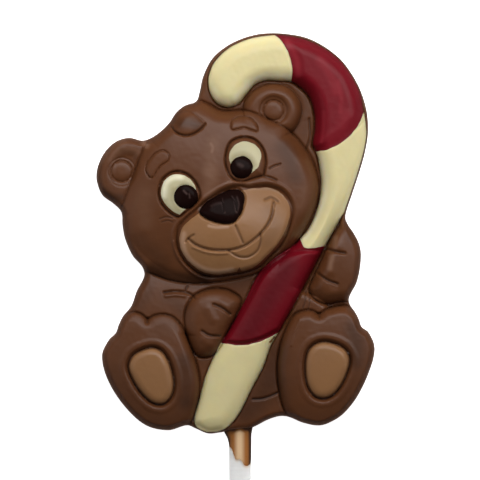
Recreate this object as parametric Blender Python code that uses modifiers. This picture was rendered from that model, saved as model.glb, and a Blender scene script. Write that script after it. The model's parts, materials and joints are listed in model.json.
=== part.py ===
"""Chocolate lollipop: a teddy bear in flat relief hugging a candy cane, on a paper stick.

It lies on its flat back. Origin: on the back plane, on the line of the stick's axis.
+Z is up, out of the relief. +Y runs to the top of the head, -Y along the stick.
Outlines are in layout units of 0.2 mm, u to the right and v down, and become mm at once.
"""

import math

import bpy
import numpy as np
from mathutils import Vector
from mathutils.bvhtree import BVHTree
from mathutils.geometry import delaunay_2d_cdt

MM = 0.001
UNIT = 0.2
ORIGIN_U = 240.0
ORIGIN_V = 232.0

# Heights and clearances, mm
WEB = 5.0
WALL_TOP = 4.5
WALL_DRAFT = 0.3
RIM_WALL = 0.3
EDGE_ROUND = 1.0
GAP = 0.15
FLOOR_GAP = 0.15
LEAST_SKIN = 0.25

# Tops of the forms, mm above the back
TORSO_TOP = 6.3
ARM_LEFT_TOP = 6.4
EAR_LEFT_TOP = 7.6
EAR_LEFT_CUP_TOP = 7.0
EAR_RIGHT_TOP = 7.6
EAR_RIGHT_CUP_TOP = 7.0
HEAD_TOP = 7.8
CANE_TOP = 8.1
MUZZLE_TOP = 9.1
ARM_RIGHT_TOP = 7.2
PAW_TOP = 7.9
SOLE_TOP = 7.9

# Domes over the larger forms: centre and radii in layout units, extra height in mm
HEAD_DOME = ((222, 190), (100, 88), 2.7)
MUZZLE_DOME = ((234, 232), (62, 50), 3.0)
ARM_LEFT_DOME = ((168, 322), (60, 44), 1.2)
ARM_RIGHT_DOME = ((338, 262), (26, 46), 1.0)
PAW_DOME = ((212, 322), (32, 38), 0.7)
SOLE_LEFT_DOME = ((152, 374), (52, 62), 1.0)
SOLE_RIGHT_DOME = ((326, 364), (54, 62), 1.0)
DOME_FALL = 0.15

# The side wall rises to cover the stick: by how much, how far from the axis, from where down, mm
BOSS_RISE = 1.1
BOSS_REACH = 5.0
BOSS_START_Y = -25.0
BOSS_BLEND = 4.0

# Stick, mm
STICK_RADIUS = 2.22
STICK_AXIS_Z = 2.8
STICK_TOP_Y = 0.8
STICK_LENGTH = 125.0
STICK_CHAMFER = 0.15
STICK_SIDES = 40
SHARP_ANGLE = 50.0
SOCKET_RADIUS = 2.42
SOCKET_TOP_Y = 1.1
SOCKET_LENGTH = 60.0

# Pocket floors, mm above the back. The cane's rises from the hook to the foot.
HOOK_FLOOR = 4.0
HOOK_FLOOR_END_Y = 30.0
CANE_FLOOR_RAMP = 30.0
FOOT_FLOOR = 5.7
SNOUT_FLOOR = 6.6
EYE_FLOOR = 8.0
PAD_FLOOR = 6.3

# Distance between the points of each outline, mm
SIDE_SPACING = 1.25
CANE_SPACING = 1.1
SNOUT_SPACING = 1.1
NOSE_SPACING = 1.0
PAD_SPACING = 1.1
EYE_SPACING = 0.9
EYE_WHITE_SPACING = 0.8
PUPIL_SIDES = 22
EYE_INSET = 0.1
FEATURE_SPACING = 0.55
FEATURE_INSIDE = 0.5
FEATURE_OUTSIDE = 0.6
WALL_SPACING = 0.5

# How fine each faceted face is: grid spacing and error allowed in mm, most free points
BODY_FINENESS = (0.8, 0.05, 2450)
CANE_FINENESS = (0.7, 0.05, 170)
MUZZLE_FINENESS = (0.7, 0.035, 430)
NOSE_FINENESS = (0.7, 0.045, 60)
PAD_FINENESS = (0.7, 0.045, 60)
EYE_WHITE_FINENESS = (0.7, 0.04, 40)
PUPIL_FINENESS = (0.7, 0.04, 30)
LEAST_SPACING = 0.42
OUTLINE_MARGIN = 0.3
POCKET_MARGIN = 0.25
MOST_ROUNDS = 30
LEAST_SHARE = 40
RAY_START = 50.0

# Where a pad's lip stands outside its outline, in groove widths, and its mitre limit
LIP_PLACE = 1.6
MITRE_LIMIT = 0.6

# Colour (linear RGB) and roughness of each chocolate and of the paper
MATERIALS = {
    "milk_chocolate": ((0.130, 0.062, 0.036), 0.36),
    "white_chocolate": ((0.720, 0.640, 0.380), 0.34),
    "red_chocolate": ((0.160, 0.010, 0.018), 0.34),
    "dark_chocolate": ((0.020, 0.011, 0.013), 0.32),
    "caramel_chocolate": ((0.300, 0.155, 0.080), 0.36),
    "stick_paper": ((0.760, 0.740, 0.720), 0.70),
}

# Outlines. A third number of 1 marks a corner.
SILHOUETTE = [
    (257, 33.8), (284, 33), (311.5, 39), (339, 57), (356.5, 81), (366, 106), (368.5, 130),
    (365.3, 152), (359, 174), (351.7, 196), (347, 210), (345.7, 218), (348.5, 225), (354, 233),
    (359.8, 245), (361.3, 258), (357.5, 281), (349.3, 298), (350.3, 305), (355, 311.5),
    (359, 319), (362, 327), (369, 332.5), (375, 348), (371, 368), (358.5, 395.5),
    (345.5, 412.5), (334, 421), (320, 426), (303, 423.2), (289, 417.5), (280, 416.6),
    (268, 420.2), (256, 426.4), (250, 428.8), (240, 429.8), (229, 431.4), (220, 433),
    (208, 434), (196, 429.2), (187, 425.8), (168, 430.8), (145, 425.5), (123, 405.3),
    (106.8, 379), (101.6, 355.5), (108.5, 340), (115.5, 333), (118, 326), (122.5, 316.5),
    (131, 306), (136.5, 291), (144, 276), (142, 267), (132.5, 256), (124.8, 239), (122.2, 225),
    (121, 212), (113, 203.5), (102, 195), (96.3, 180), (97.5, 166), (105, 151), (116, 141),
    (129, 137.5), (143.5, 140.2), (157, 133.7), (169, 122.5), (176, 112), (185, 105),
    (196, 101), (199.3, 92.5), (203, 76), (213, 57), (232, 42.5),
]

TORSO = [
    (150, 288), (190, 276), (250, 275), (300, 290), (330, 310), (335, 395), (310, 425),
    (284, 424), (268, 428), (254, 436), (230, 440), (195, 436), (160, 410), (140, 340),
]

ARM_LEFT = [
    (138, 262), (141, 276), (134, 291), (128, 307), (127, 322), (160, 327), (190, 335),
    (212, 332), (240, 318), (262, 300), (275, 275), (278, 250), (220, 243), (160, 245),
]

EAR_LEFT = [
    (95.5, 185), (94.5, 176), (96.5, 164), (104, 150), (115, 139.5), (129, 135.5), (144, 138.5),
    (158, 150), (156, 190), (140, 212), (122, 213), (107, 202), (99.5, 195),
]

EAR_LEFT_CUP = [
    (108.3, 172), (110.5, 159), (118.5, 149.8), (130, 148.4), (139, 152.5), (142, 170),
    (134, 185), (121, 188.6), (111.5, 184),
]

EAR_RIGHT = [
    (243, 107), (252, 92), (268, 84), (286, 86), (298, 97), (302, 111), (297, 126),
    (290, 133), (268, 140), (248, 125),
]

HEAD = [
    (124, 203), (119.5, 214), (120.5, 227), (123.5, 239.5), (131.5, 258), (141, 269),
    (152, 273.5), (170, 280), (190, 283), (215, 282), (240, 278), (262, 271), (285, 255),
    (303, 233), (316, 207), (319, 183), (313, 162), (303, 146), (290, 132), (268, 119.5),
    (245, 111), (222, 110.5), (208, 104), (197, 100), (186, 103), (176, 110), (168, 121),
    (156.5, 132.5), (147.5, 142), (140, 158), (131.5, 180),
]

TUFT = [
    (172, 125.5), (174.5, 118.5), (181, 112.8), (188, 111.8), (195, 115), (200.5, 120),
    (204.8, 124.3, 1), (200.6, 129.3), (193.5, 134.2), (186, 135.8), (179.5, 134.6), (174, 130.8),
]

BROW_LEFT = [
    (150, 177.5), (146, 170), (149, 161), (156, 153.5), (164, 151), (169, 155), (168, 161),
    (161, 166), (156.5, 172), (153.5, 177),
]

BROW_RIGHT = [
    (231, 127), (233, 120), (242, 116.5), (251, 119), (257, 126), (257, 131.5), (251, 130),
    (244, 128), (237, 129.5), (232.5, 130),
]

EYE_LEFT = [
    (159, 192), (163.5, 179), (175, 172), (187, 174.5), (196, 183.5), (200, 196), (195, 204.5),
    (186, 212), (178, 217), (168, 211), (161, 202),
]

EYE_RIGHT = [
    (225.5, 158), (230, 143.5), (241, 138), (254, 140), (263, 150), (265.5, 162),
    (263.5, 175.5, 1), (253, 178.5), (242, 181.5), (233, 179), (227, 169),
]

WHITE_LEFT = [
    (161, 193), (164, 182), (170, 176.3), (178, 174.5), (187, 177), (194, 184), (196, 190),
    (192, 201), (186, 209), (180, 215, 1), (171, 209.8), (164, 201.5),
]

WHITE_RIGHT = [
    (229.3, 160), (231, 150.5), (237, 144), (245, 141.8), (254, 144.5), (260.5, 152),
    (261, 160), (258, 168, 1), (246, 176), (236, 172),
]

MUZZLE = [
    (177, 238), (179, 228), (186, 219), (196, 210.5), (207, 201), (219, 192.5), (231, 187.3),
    (241, 186), (248, 187.5), (258, 186.3), (269, 185.8), (281, 190), (289, 199),
    (292.3, 212), (289, 228), (281, 245), (270, 256.5), (260, 266.5), (248, 271.5),
    (232, 274.5), (215, 276.5), (200, 273), (187, 263), (179, 250),
]

CARAMEL = [
    (179.5, 240), (182, 229), (189, 221), (197, 215), (210, 205), (230, 195), (248, 189.3),
    (258, 188.3), (269, 188), (279, 192), (287, 201), (290, 213), (286, 228), (278, 243),
    (267, 255.5), (257, 265), (248, 269.8), (241.5, 271, 1), (239.4, 266.8, 1), (236.8, 272, 1),
    (231, 273), (215, 274.5), (201, 271), (188.5, 261), (181.5, 250),
]

NOSE = [
    (199.3, 212.5), (205, 203.5), (217, 195.5), (230, 190), (239, 190), (244.5, 196),
    (243.5, 206), (239, 217), (232, 223.3), (220, 223.3), (207, 219),
]

CANE = [
    (272.5, 35.3), (290, 36), (312, 42.3), (332.7, 54), (349.8, 70.3), (359.5, 90.5),
    (363.5, 110), (365.5, 122), (366.3, 140), (362.8, 166), (355.3, 188), (346.3, 208),
    (336.5, 226), (327, 243), (320, 256), (308, 279), (294.5, 304), (280, 330), (271, 345),
    (263, 367), (251, 390), (240, 412), (231, 424), (221, 430.2), (208, 431.6), (198, 428),
    (194, 419), (198, 404), (201.5, 391), (205.5, 376), (213, 358), (221, 343), (231, 326),
    (245, 300), (257, 275), (264.5, 266.5), (272.5, 259.5), (283, 252), (293, 245.5),
    (300, 238.5), (308.5, 228.5), (317, 209), (321, 187), (319.5, 168), (316, 153),
    (312.5, 144), (314.5, 130), (314, 113), (309, 97.5), (300, 87.5), (290, 81.7), (279, 81),
    (266, 80.5), (254.5, 85), (246, 95), (238, 104), (227, 107.3), (216, 102.5), (209.3, 90),
    (208.8, 76), (215.5, 61), (230, 47.5), (250, 38.8),
]

RED_HOOK = [
    (273, 33, 1), (290, 33.5), (313, 40), (334.5, 51.5), (352.5, 68.5), (362.5, 90),
    (367.5, 108), (365, 120, 1), (344, 139.5), (328, 148.5), (316, 151), (311.5, 147, 1),
    (314.5, 130), (314, 112), (309, 97), (299, 87), (291, 81.5, 1), (292.5, 70), (288.5, 54),
    (281, 41),
]

RED_MIDDLE = [
    (301, 250.5), (312, 250), (321.5, 250.5, 1), (319, 257), (308, 279), (294.5, 304),
    (280, 330, 1), (262, 339), (243, 344), (222, 342, 1), (232.5, 326), (247.5, 300),
    (260, 277), (267.5, 267.5), (276, 259.5), (287, 253.5),
]

# Where the cane changes colour: each band reaches past the cane on both sides.
BAND_TIP = [
    (266, 20, 1), (273, 34, 1), (281, 41), (288.5, 54), (292.5, 70), (291, 81.5, 1),
    (286, 96, 1), (240, 125, 1), (185, 125, 1), (185, 20, 1),
]

BAND_HOOK = [
    (266, 20, 1), (273, 34, 1), (281, 41), (288.5, 54), (292.5, 70), (291, 81.5, 1),
    (286, 96, 1), (295, 140, 1), (309, 149, 1), (316, 151.5), (328, 149.5), (344, 141),
    (357, 127), (364, 112, 1), (380, 90, 1), (380, 20, 1),
]

BAND_WHITE = [
    (295, 140, 1), (309, 149, 1), (316, 151.5), (328, 149.5), (344, 141), (357, 127),
    (364, 112, 1), (385, 112, 1), (385, 235, 1), (335, 246, 1), (323, 246.5), (312, 248),
    (304.5, 247.5), (300, 239, 1), (290, 232, 1),
]

BAND_MIDDLE = [
    (290, 232, 1), (300, 239, 1), (304.5, 247.5), (312, 248), (323, 246.5), (335, 246, 1),
    (335, 310, 1), (290, 327, 1), (280, 331.5, 1), (262, 340.5), (243, 345), (222, 343, 1),
    (205, 335, 1), (205, 232, 1),
]

BAND_FOOT = [
    (205, 335, 1), (222, 343, 1), (243, 345), (262, 340.5), (280, 331.5, 1), (290, 327, 1),
    (290, 445, 1), (180, 445, 1), (180, 335, 1),
]

ARM_RIGHT = [
    (343.5, 215), (350.5, 220), (357.5, 230.5), (363.5, 246), (365, 259), (360.5, 283),
    (352, 300), (340, 301.5), (327, 304), (315, 299.5), (309, 290), (312, 280), (321, 260),
    (330, 240), (338, 227),
]

PAW_LEFT = [
    (184.5, 322), (186, 309), (193, 297), (204, 290.5), (217, 288.3), (230, 291), (241, 300),
    (236, 315), (228, 330), (221.5, 344), (212, 355.5), (198, 356), (189.5, 343),
]

SOLE_LEFT = [
    (112.5, 333.5), (116, 325), (122.5, 315.5), (132.5, 312), (141.5, 314.5), (147.5, 319),
    (154, 316), (164, 314.5), (174, 318), (183, 328.5), (190, 345), (196.3, 363), (200, 384),
    (197, 405), (190, 423), (168, 433.5), (144, 428), (121, 407.5), (104.5, 380),
    (99.5, 356), (104.5, 343.5),
]

SOLE_RIGHT = [
    (293.5, 315.5), (302, 311), (311.5, 310.5), (319, 314), (326, 309.5), (336.5, 306),
    (348, 306), (357.5, 312.5), (361.5, 320), (364.5, 326), (371, 331), (377, 346), (377, 356),
    (373.5, 370), (361, 397.5), (347, 416), (334.5, 425), (320, 430), (301, 426.5),
    (285.5, 412), (279, 390), (277, 368), (279, 350), (284, 333),
]

PAD_LEFT = [
    (128.5, 366), (133, 355.5), (143, 349.5), (154, 347.5), (163, 352), (170, 364),
    (174, 382), (172, 395), (164, 403.5), (153, 402.5), (141, 392), (132, 377.5),
]

PAD_RIGHT = [
    (305, 368), (307, 353), (313, 345), (323, 341.5), (336, 344), (346, 350.5), (349.5, 361),
    (344, 379), (335, 392.5), (325, 398), (315, 396), (307.5, 385.5),
]

# Circles: centre u, v and radius, in layout units
EAR_LEFT_DISC = (122, 171.3, 10.3)
EAR_RIGHT_CUP = (273.8, 110.8, 17.5)
EAR_RIGHT_DISC = (273.4, 110.5, 9.9)
PUPIL_LEFT_CIRCLE = (186.2, 197, 12.0)
PUPIL_RIGHT_CIRCLE = (241.6, 167.7, 11.2)

# Creases: line, depth and half width in mm. A negative depth is a ridge.
CREASES = [
    ([(189, 239.5), (196, 245), (207, 249), (222, 250.5), (238, 248.5), (251, 242), (263, 231),
      (271, 218), (274, 203)], 0.50, 0.50),
    ([(186, 242), (189, 238), (194, 235)], 0.25, 0.40),
    ([(265, 200), (271, 197.8), (278, 202)], 0.30, 0.45),
    ([(235.5, 226), (239, 234), (243, 243)], 0.30, 0.45),
    ([(229, 251), (238, 256.5), (248, 257), (257, 251), (260.5, 242), (260, 234)], 0.25, 0.45),
    ([(193, 247), (204, 251.5), (216, 253.5), (228, 253)], -0.20, 0.45),
    ([(164, 292.5), (174, 291.3), (184, 292), (191, 294.5), (194.5, 298)], 0.35, 0.45),
    ([(166, 296), (176, 295), (185, 296)], -0.20, 0.50),
    ([(187.5, 286), (185.5, 290.5)], 0.25, 0.40),
    ([(214, 304.5), (222, 308), (230, 314)], 0.40, 0.50),
    ([(202, 331), (209.5, 335.2), (220, 336)], 0.40, 0.50),
    ([(337, 234), (337, 246)], -0.22, 1.50),
    ([(332, 257), (330, 271)], -0.25, 1.70),
    ([(322, 286), (332, 292)], -0.15, 1.50),
    ([(222, 303), (229, 307)], -0.18, 1.20),
    ([(208, 309), (213, 319)], -0.20, 1.50),
    ([(205, 340), (214, 347)], -0.15, 1.30),
    ([(327, 249), (336, 251.8), (344.5, 253.3)], 0.40, 0.50),
    ([(318, 273.5), (326, 279.5), (337, 284)], 0.40, 0.50),
    ([(253, 399), (262, 398.5), (270, 396), (278, 392.5)], 0.30, 0.45),
    ([(160, 219), (166, 217), (173, 218)], 0.10, 0.35),
    ([(162, 222), (168, 220.5), (173, 222)], 0.07, 0.30),
    ([(147.5, 319), (147.3, 322.5)], 0.40, 0.60),
    ([(319, 314), (319.3, 317)], 0.40, 0.60),
    ([(269.5, 169), (274, 166.5), (280, 164.5)], 0.25, 0.35),
    ([(264, 176.5), (270, 178), (276, 180.5)], 0.25, 0.40),
    ([(309, 119), (310, 137), (306, 149)], 0.30, 0.40),
    ([(171.5, 126.5), (176, 132.5), (185, 136), (194, 134), (201, 129.5), (205, 124.5)], 0.28, 0.40),
    ([(174, 242), (177, 254), (186, 267), (199, 276.5), (212, 280.5)], -0.20, 0.45),
]


def to_mm(points):
    """Layout units to mm in the part's frame."""
    points = np.asarray(points, float)
    return np.stack([(points[:, 0] - ORIGIN_U) * UNIT, (ORIGIN_V - points[:, 1]) * UNIT], axis=1)


def span(before, start, end, after, steps):
    """Points of one span of a smooth curve, without its end. None marks a corner."""
    chord = np.linalg.norm(end - start)
    leave = end - start
    arrive = end - start
    if before is not None:
        leave = (end - before) * chord / (chord + np.linalg.norm(start - before))
    if after is not None:
        arrive = (after - start) * chord / (chord + np.linalg.norm(after - end))
    t = np.linspace(0, 1, steps, endpoint=False)[:, None]
    cube = t**3
    square = t**2
    points = (2 * cube - 3 * square + 1) * start + (cube - 2 * square + t) * leave
    return points + (3 * square - 2 * cube) * end + (cube - square) * arrive


def smooth(points, closed=True, steps=8):
    """A smooth curve through the points, in mm."""
    places = to_mm([point[:2] for point in points])
    corner = [len(point) > 2 and point[2] == 1 for point in points]
    count = len(points)
    pieces = []
    for i in range(count if closed else count - 1):
        j = (i + 1) % count
        at_start = corner[i] or (not closed and i == 0)
        at_end = corner[j] or (not closed and j == count - 1)
        before = None if at_start else places[i - 1]
        after = None if at_end else places[(j + 1) % count]
        pieces.append(span(before, places[i], places[j], after, steps))
    if not closed:
        pieces.append(places[-1:])
    return np.concatenate(pieces)


def circle(spec, count=48):
    """A circle as a closed curve, in mm."""
    u, v, radius = spec
    turn = np.linspace(0, 2 * math.pi, count, endpoint=False)
    return to_mm(np.stack([u + radius * np.cos(turn), v + radius * np.sin(turn)], axis=1))


def resampled(curve, spacing, keep_angle=35.0):
    """The closed curve with even spacing, keeping its sharp corners."""
    back = curve - np.roll(curve, 1, axis=0)
    ahead = np.roll(curve, -1, axis=0) - curve
    turn = np.arctan2(back[:, 0] * ahead[:, 1] - back[:, 1] * ahead[:, 0], (back * ahead).sum(axis=1))
    corners = list(np.flatnonzero(np.abs(turn) > math.radians(keep_angle))) or [0]
    loop = []
    for first, last in zip(corners, corners[1:] + [corners[0] + len(curve)]):
        piece = curve[np.arange(first, last + 1) % len(curve)]
        length = np.concatenate([[0], np.cumsum(np.linalg.norm(np.diff(piece, axis=0), axis=1))])
        count = max(1, round(length[-1] / spacing))
        even = np.linspace(0, length[-1], count, endpoint=False)
        loop.append(np.stack([np.interp(even, length, piece[:, axis]) for axis in (0, 1)], axis=1))
    return np.concatenate(loop)


def inside(loop, points):
    """Which points lie inside the closed loop."""
    found = np.zeros(len(points), bool)
    for a, b in zip(loop, np.roll(loop, -1, axis=0)):
        crosses = (a[1] > points[:, 1]) != (b[1] > points[:, 1])
        if a[1] != b[1]:
            x = a[0] + (points[:, 1] - a[1]) * (b[0] - a[0]) / (b[1] - a[1])
            found ^= crosses & (points[:, 0] < x)
    return found


def distance(curve, points, closed):
    """Distance in mm from each point to the curve."""
    starts = curve if closed else curve[:-1]
    ends = np.roll(curve, -1, axis=0) if closed else curve[1:]
    best = np.full(len(points), np.inf)
    for a, b in zip(starts, ends):
        along = b - a
        t = np.clip(((points - a) @ along) / max(along @ along, 1e-12), 0, 1)
        best = np.minimum(best, ((points - a - t[:, None] * along) ** 2).sum(axis=1))
    return np.sqrt(best)


def depth_in(loop, points, reach=6.0):
    """Signed distance to the loop, positive inside, and at most reach outside."""
    result = np.full(len(points), -reach)
    low = loop.min(axis=0) - reach
    high = loop.max(axis=0) + reach
    near = np.flatnonzero(((points > low) & (points < high)).all(axis=1))
    if len(near):
        found = distance(loop, points[near], True)
        result[near] = np.where(inside(loop, points[near]), found, -found)
    return result


def offset(loop, amount):
    """The loop moved inwards by amount, or outwards if it is negative."""
    ahead = np.roll(loop, -1, axis=0) - loop
    back = loop - np.roll(loop, 1, axis=0)
    area = (loop[:, 0] * np.roll(loop[:, 1], -1) - np.roll(loop[:, 0], -1) * loop[:, 1]).sum()
    sign = 1.0 if area > 0 else -1.0
    normals = []
    for edge in (back, ahead):
        edge = edge / np.linalg.norm(edge, axis=1)[:, None]
        normals.append(np.stack([-edge[:, 1], edge[:, 0]], axis=1) * sign)
    middle = normals[0] + normals[1]
    middle /= np.linalg.norm(middle, axis=1)[:, None]
    stretch = 1 / np.clip((middle * normals[0]).sum(axis=1), MITRE_LIMIT, 1)
    return loop + middle * stretch[:, None] * amount


def rounded(t):
    """Quarter-round profile from 0 to 1."""
    t = np.clip(t, 0, 1)
    return np.sqrt(1 - (1 - t) ** 2)


def eased(t):
    """Soft profile from 0 to 1."""
    t = np.clip(t, 0, 1)
    return t * t * (3 - 2 * t)


def bell(t):
    """Soft bump: 1 at 0 and 0 from 1 outwards."""
    return 1 - eased(np.abs(t))


class Relief:
    """The height of the moulded face over the plan, in mm."""

    def __init__(self, points):
        self.points = points
        self.height = np.full(len(points), WEB)

    def pad(self, loop, top=None, rise=0.0, shoulder=2.0, groove=0.0, width=0.6, lip=0.0,
            crown=None, profile=rounded):
        """A form inside the loop: up to an absolute top, or to a rise over what is there."""
        depth = depth_in(loop, self.points)
        near = depth > -3 * width
        depth = depth[near]
        under = self.height[near]
        goal = under + rise if top is None else np.full(len(under), top)
        if crown is not None:
            centre, radii, extra = crown
            away = (self.points[near] - to_mm([centre])[0]) / (np.array(radii) * UNIT)
            goal = goal + extra * np.clip(1 - (away**2).sum(axis=1), -DOME_FALL, 1)
        within = profile(depth / shoulder)
        form = (under - groove) * (1 - within) + goal * within
        around = under - groove * bell(depth / width) + lip * bell(depth / width + LIP_PLACE)
        self.height[near] = np.where(depth > 0, form, around)

    def crease(self, line, depth, half_width):
        """A groove along an open line, or a ridge if the depth is negative."""
        low = line.min(axis=0) - half_width
        high = line.max(axis=0) + half_width
        near = np.flatnonzero(((self.points > low) & (self.points < high)).all(axis=1))
        if len(near):
            away = distance(line, self.points[near], False)
            self.height[near] -= depth * bell(away / half_width)


def ears(relief):
    """Both ears: a rolled rim round a cup with a disc in it."""
    relief.pad(smooth(EAR_LEFT), top=EAR_LEFT_TOP, shoulder=2.4)
    relief.pad(smooth(EAR_LEFT_CUP), top=EAR_LEFT_CUP_TOP, shoulder=1.8, profile=eased)
    relief.pad(smooth(EAR_RIGHT), top=EAR_RIGHT_TOP, shoulder=2.2, groove=0.1)
    relief.pad(circle(EAR_RIGHT_CUP), top=EAR_RIGHT_CUP_TOP, shoulder=1.5, profile=eased)
    for disc in (EAR_LEFT_DISC, EAR_RIGHT_DISC):
        relief.pad(circle(disc), rise=0.3, shoulder=1.5, groove=0.22, width=0.3)


def head(relief):
    """The head with its tuft, brows and eye sockets."""
    relief.pad(smooth(HEAD), top=HEAD_TOP, shoulder=3.0, groove=0.3, width=0.5, crown=HEAD_DOME)
    relief.pad(smooth(TUFT), rise=0.4, shoulder=2.4, groove=0.1, width=0.4)
    for brow in (BROW_LEFT, BROW_RIGHT):
        relief.pad(smooth(brow), rise=0.12, shoulder=0.6, groove=0.25, width=0.28)
    for eye in (EYE_LEFT, EYE_RIGHT):
        relief.pad(smooth(eye), rise=0.45, shoulder=2.2, groove=0.6, width=0.45)
    for pupil in (PUPIL_LEFT_CIRCLE, PUPIL_RIGHT_CIRCLE):
        relief.pad(circle(pupil), rise=0.45, shoulder=1.9, groove=0.15, width=0.3)


def cane(relief):
    """The candy cane: a rounded bar, with its red lengths a little proud."""
    relief.pad(smooth(CANE), top=CANE_TOP, shoulder=3.2, groove=0.35, width=0.45)
    for red, shoulder in ((RED_HOOK, 2.6), (RED_MIDDLE, 0.9)):
        relief.pad(smooth(red), rise=0.4, shoulder=shoulder, groove=0.2, width=0.5, profile=eased)


def muzzle(relief):
    """The snout with the nose on it."""
    relief.pad(smooth(MUZZLE), top=MUZZLE_TOP, shoulder=1.3, groove=0.4, width=0.5, lip=0.15,
               crown=MUZZLE_DOME)
    relief.pad(smooth(NOSE), rise=0.9, shoulder=1.8, groove=0.4, width=0.45)


def limbs(relief):
    """Arms, the paw and the two soles with their pads."""
    relief.pad(smooth(ARM_RIGHT), top=ARM_RIGHT_TOP, shoulder=2.4, groove=0.25, width=0.5,
               crown=ARM_RIGHT_DOME)
    relief.pad(smooth(PAW_LEFT), top=PAW_TOP, shoulder=2.8, groove=0.45, width=0.5, crown=PAW_DOME)
    soles = ((SOLE_LEFT, SOLE_LEFT_DOME, PAD_LEFT), (SOLE_RIGHT, SOLE_RIGHT_DOME, PAD_RIGHT))
    for sole, dome, pad in soles:
        relief.pad(smooth(sole), top=SOLE_TOP, shoulder=2.0, groove=0.4, width=0.5, crown=dome)
        relief.pad(smooth(pad), rise=0.4, shoulder=1.6, groove=0.8, width=0.8, lip=0.12)


def wall_height(points):
    """The height of the side wall: higher over the stick."""
    boss = bell(points[:, 0] / BOSS_REACH) * eased((BOSS_START_Y - points[:, 1]) / BOSS_BLEND)
    return WALL_TOP + BOSS_RISE * boss


def relief_height(points):
    """The height of the whole moulded face at each point of the plan."""
    relief = Relief(points)
    relief.pad(smooth(TORSO), top=TORSO_TOP, shoulder=1.5)
    relief.pad(smooth(ARM_LEFT), top=ARM_LEFT_TOP, shoulder=2.2, groove=0.1, crown=ARM_LEFT_DOME)
    ears(relief)
    head(relief)
    cane(relief)
    muzzle(relief)
    limbs(relief)
    for line, depth, half_width in CREASES:
        relief.crease(smooth(line, closed=False), depth, half_width)
    wall = offset(resampled(smooth(SILHOUETTE), WALL_SPACING), WALL_DRAFT)
    edge = rounded(depth_in(wall, points) / EDGE_ROUND)
    lowest = wall_height(points)
    return lowest + (relief.height - lowest) * edge


def triangulated(points, edges):
    """Constrained Delaunay triangles: points, triangles, and for each input point its output."""
    vectors = [Vector(point) for point in points]
    found = delaunay_2d_cdt(vectors, edges, [], 0, 1e-7, True)
    places = np.array([tuple(vector) for vector in found[0]])
    where = np.full(len(points), -1)
    for index, sources in enumerate(found[3]):
        where[list(sources)] = index
    return places, np.array(found[2]), where


def loop_edges(start, count):
    """Edges that close a run of count points."""
    return [(start + i, start + (i + 1) % count) for i in range(count)]


def joined(loops):
    """Several loops as one point list with their edges."""
    edges = []
    start = 0
    for loop in loops:
        edges += loop_edges(start, len(loop))
        start += len(loop)
    return np.concatenate(loops), edges


def border(triangles):
    """The directed edges that only one of the triangles has."""
    edges = {}
    for a, b, c in triangles:
        for edge in ((a, b), (b, c), (c, a)):
            edges[edge] = True
    return {a: b for a, b in edges if (b, a) not in edges}


def region_loop(loops, test, shortest=0.12):
    """The outline of the region where test holds, made only from the given loops."""
    points, edges = joined(loops)
    places, triangles, _ = triangulated(points, edges)
    kept = triangles[test(places[triangles].mean(axis=1))]
    following = border(kept)
    best = []
    while following:
        start, here = following.popitem()
        chain = [start]
        while here != start:
            chain.append(here)
            here = following.pop(here)
        best = max(best, chain, key=len)
    loop = [places[best[0]]]
    for index in best[1:]:
        if np.linalg.norm(places[index] - loop[-1]) > shortest:
            loop.append(places[index])
    return np.array(loop)


def hex_grid(low, high, spacing):
    """Points of an even triangular grid over a box."""
    rows = np.arange(low[1], high[1], spacing * math.sqrt(3) / 2)
    columns = np.arange(low[0], high[0], spacing)
    grid = [np.stack([columns + spacing / 2 * (i % 2), np.full(len(columns), row)], axis=1)
            for i, row in enumerate(rows)]
    return np.concatenate(grid)


def feature_points():
    """Points along the creases and outlines, where the face bends most."""
    outlines = (ARM_LEFT, EAR_LEFT, EAR_LEFT_CUP, EAR_RIGHT, HEAD, TUFT, BROW_LEFT, BROW_RIGHT,
                EYE_LEFT, EYE_RIGHT, MUZZLE, NOSE, CANE, RED_HOOK, RED_MIDDLE, ARM_RIGHT,
                PAW_LEFT, SOLE_LEFT, SOLE_RIGHT, PAD_LEFT, PAD_RIGHT)
    curves = [smooth(outline) for outline in outlines]
    curves += [circle(spec) for spec in (EAR_LEFT_DISC, EAR_RIGHT_CUP, EAR_RIGHT_DISC)]
    points = []
    for curve in curves:
        even = resampled(curve, FEATURE_SPACING)
        points += [even, offset(even, FEATURE_INSIDE), offset(even, -FEATURE_OUTSIDE)]
    for line, _, _ in CREASES:
        points.append(smooth(line, closed=False, steps=3))
    return np.concatenate(points)


def spread(points, taken, least):
    """The points that keep at least this far from those taken and from each other."""
    cells = {}

    def close(point):
        cell = (int(point[0] // least), int(point[1] // least))
        around = [cells.get((cell[0] + i, cell[1] + j), ()) for i in (-1, 0, 1) for j in (-1, 0, 1)]
        return any(math.dist(point, other) < least for group in around for other in group)

    def put(point):
        cells.setdefault((int(point[0] // least), int(point[1] // least)), []).append(point)

    for point in taken:
        put(tuple(point))
    kept = []
    for point in points:
        point = tuple(point)
        if not close(point):
            put(point)
            kept.append(point)
    return np.array(kept).reshape(-1, 2)


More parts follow.
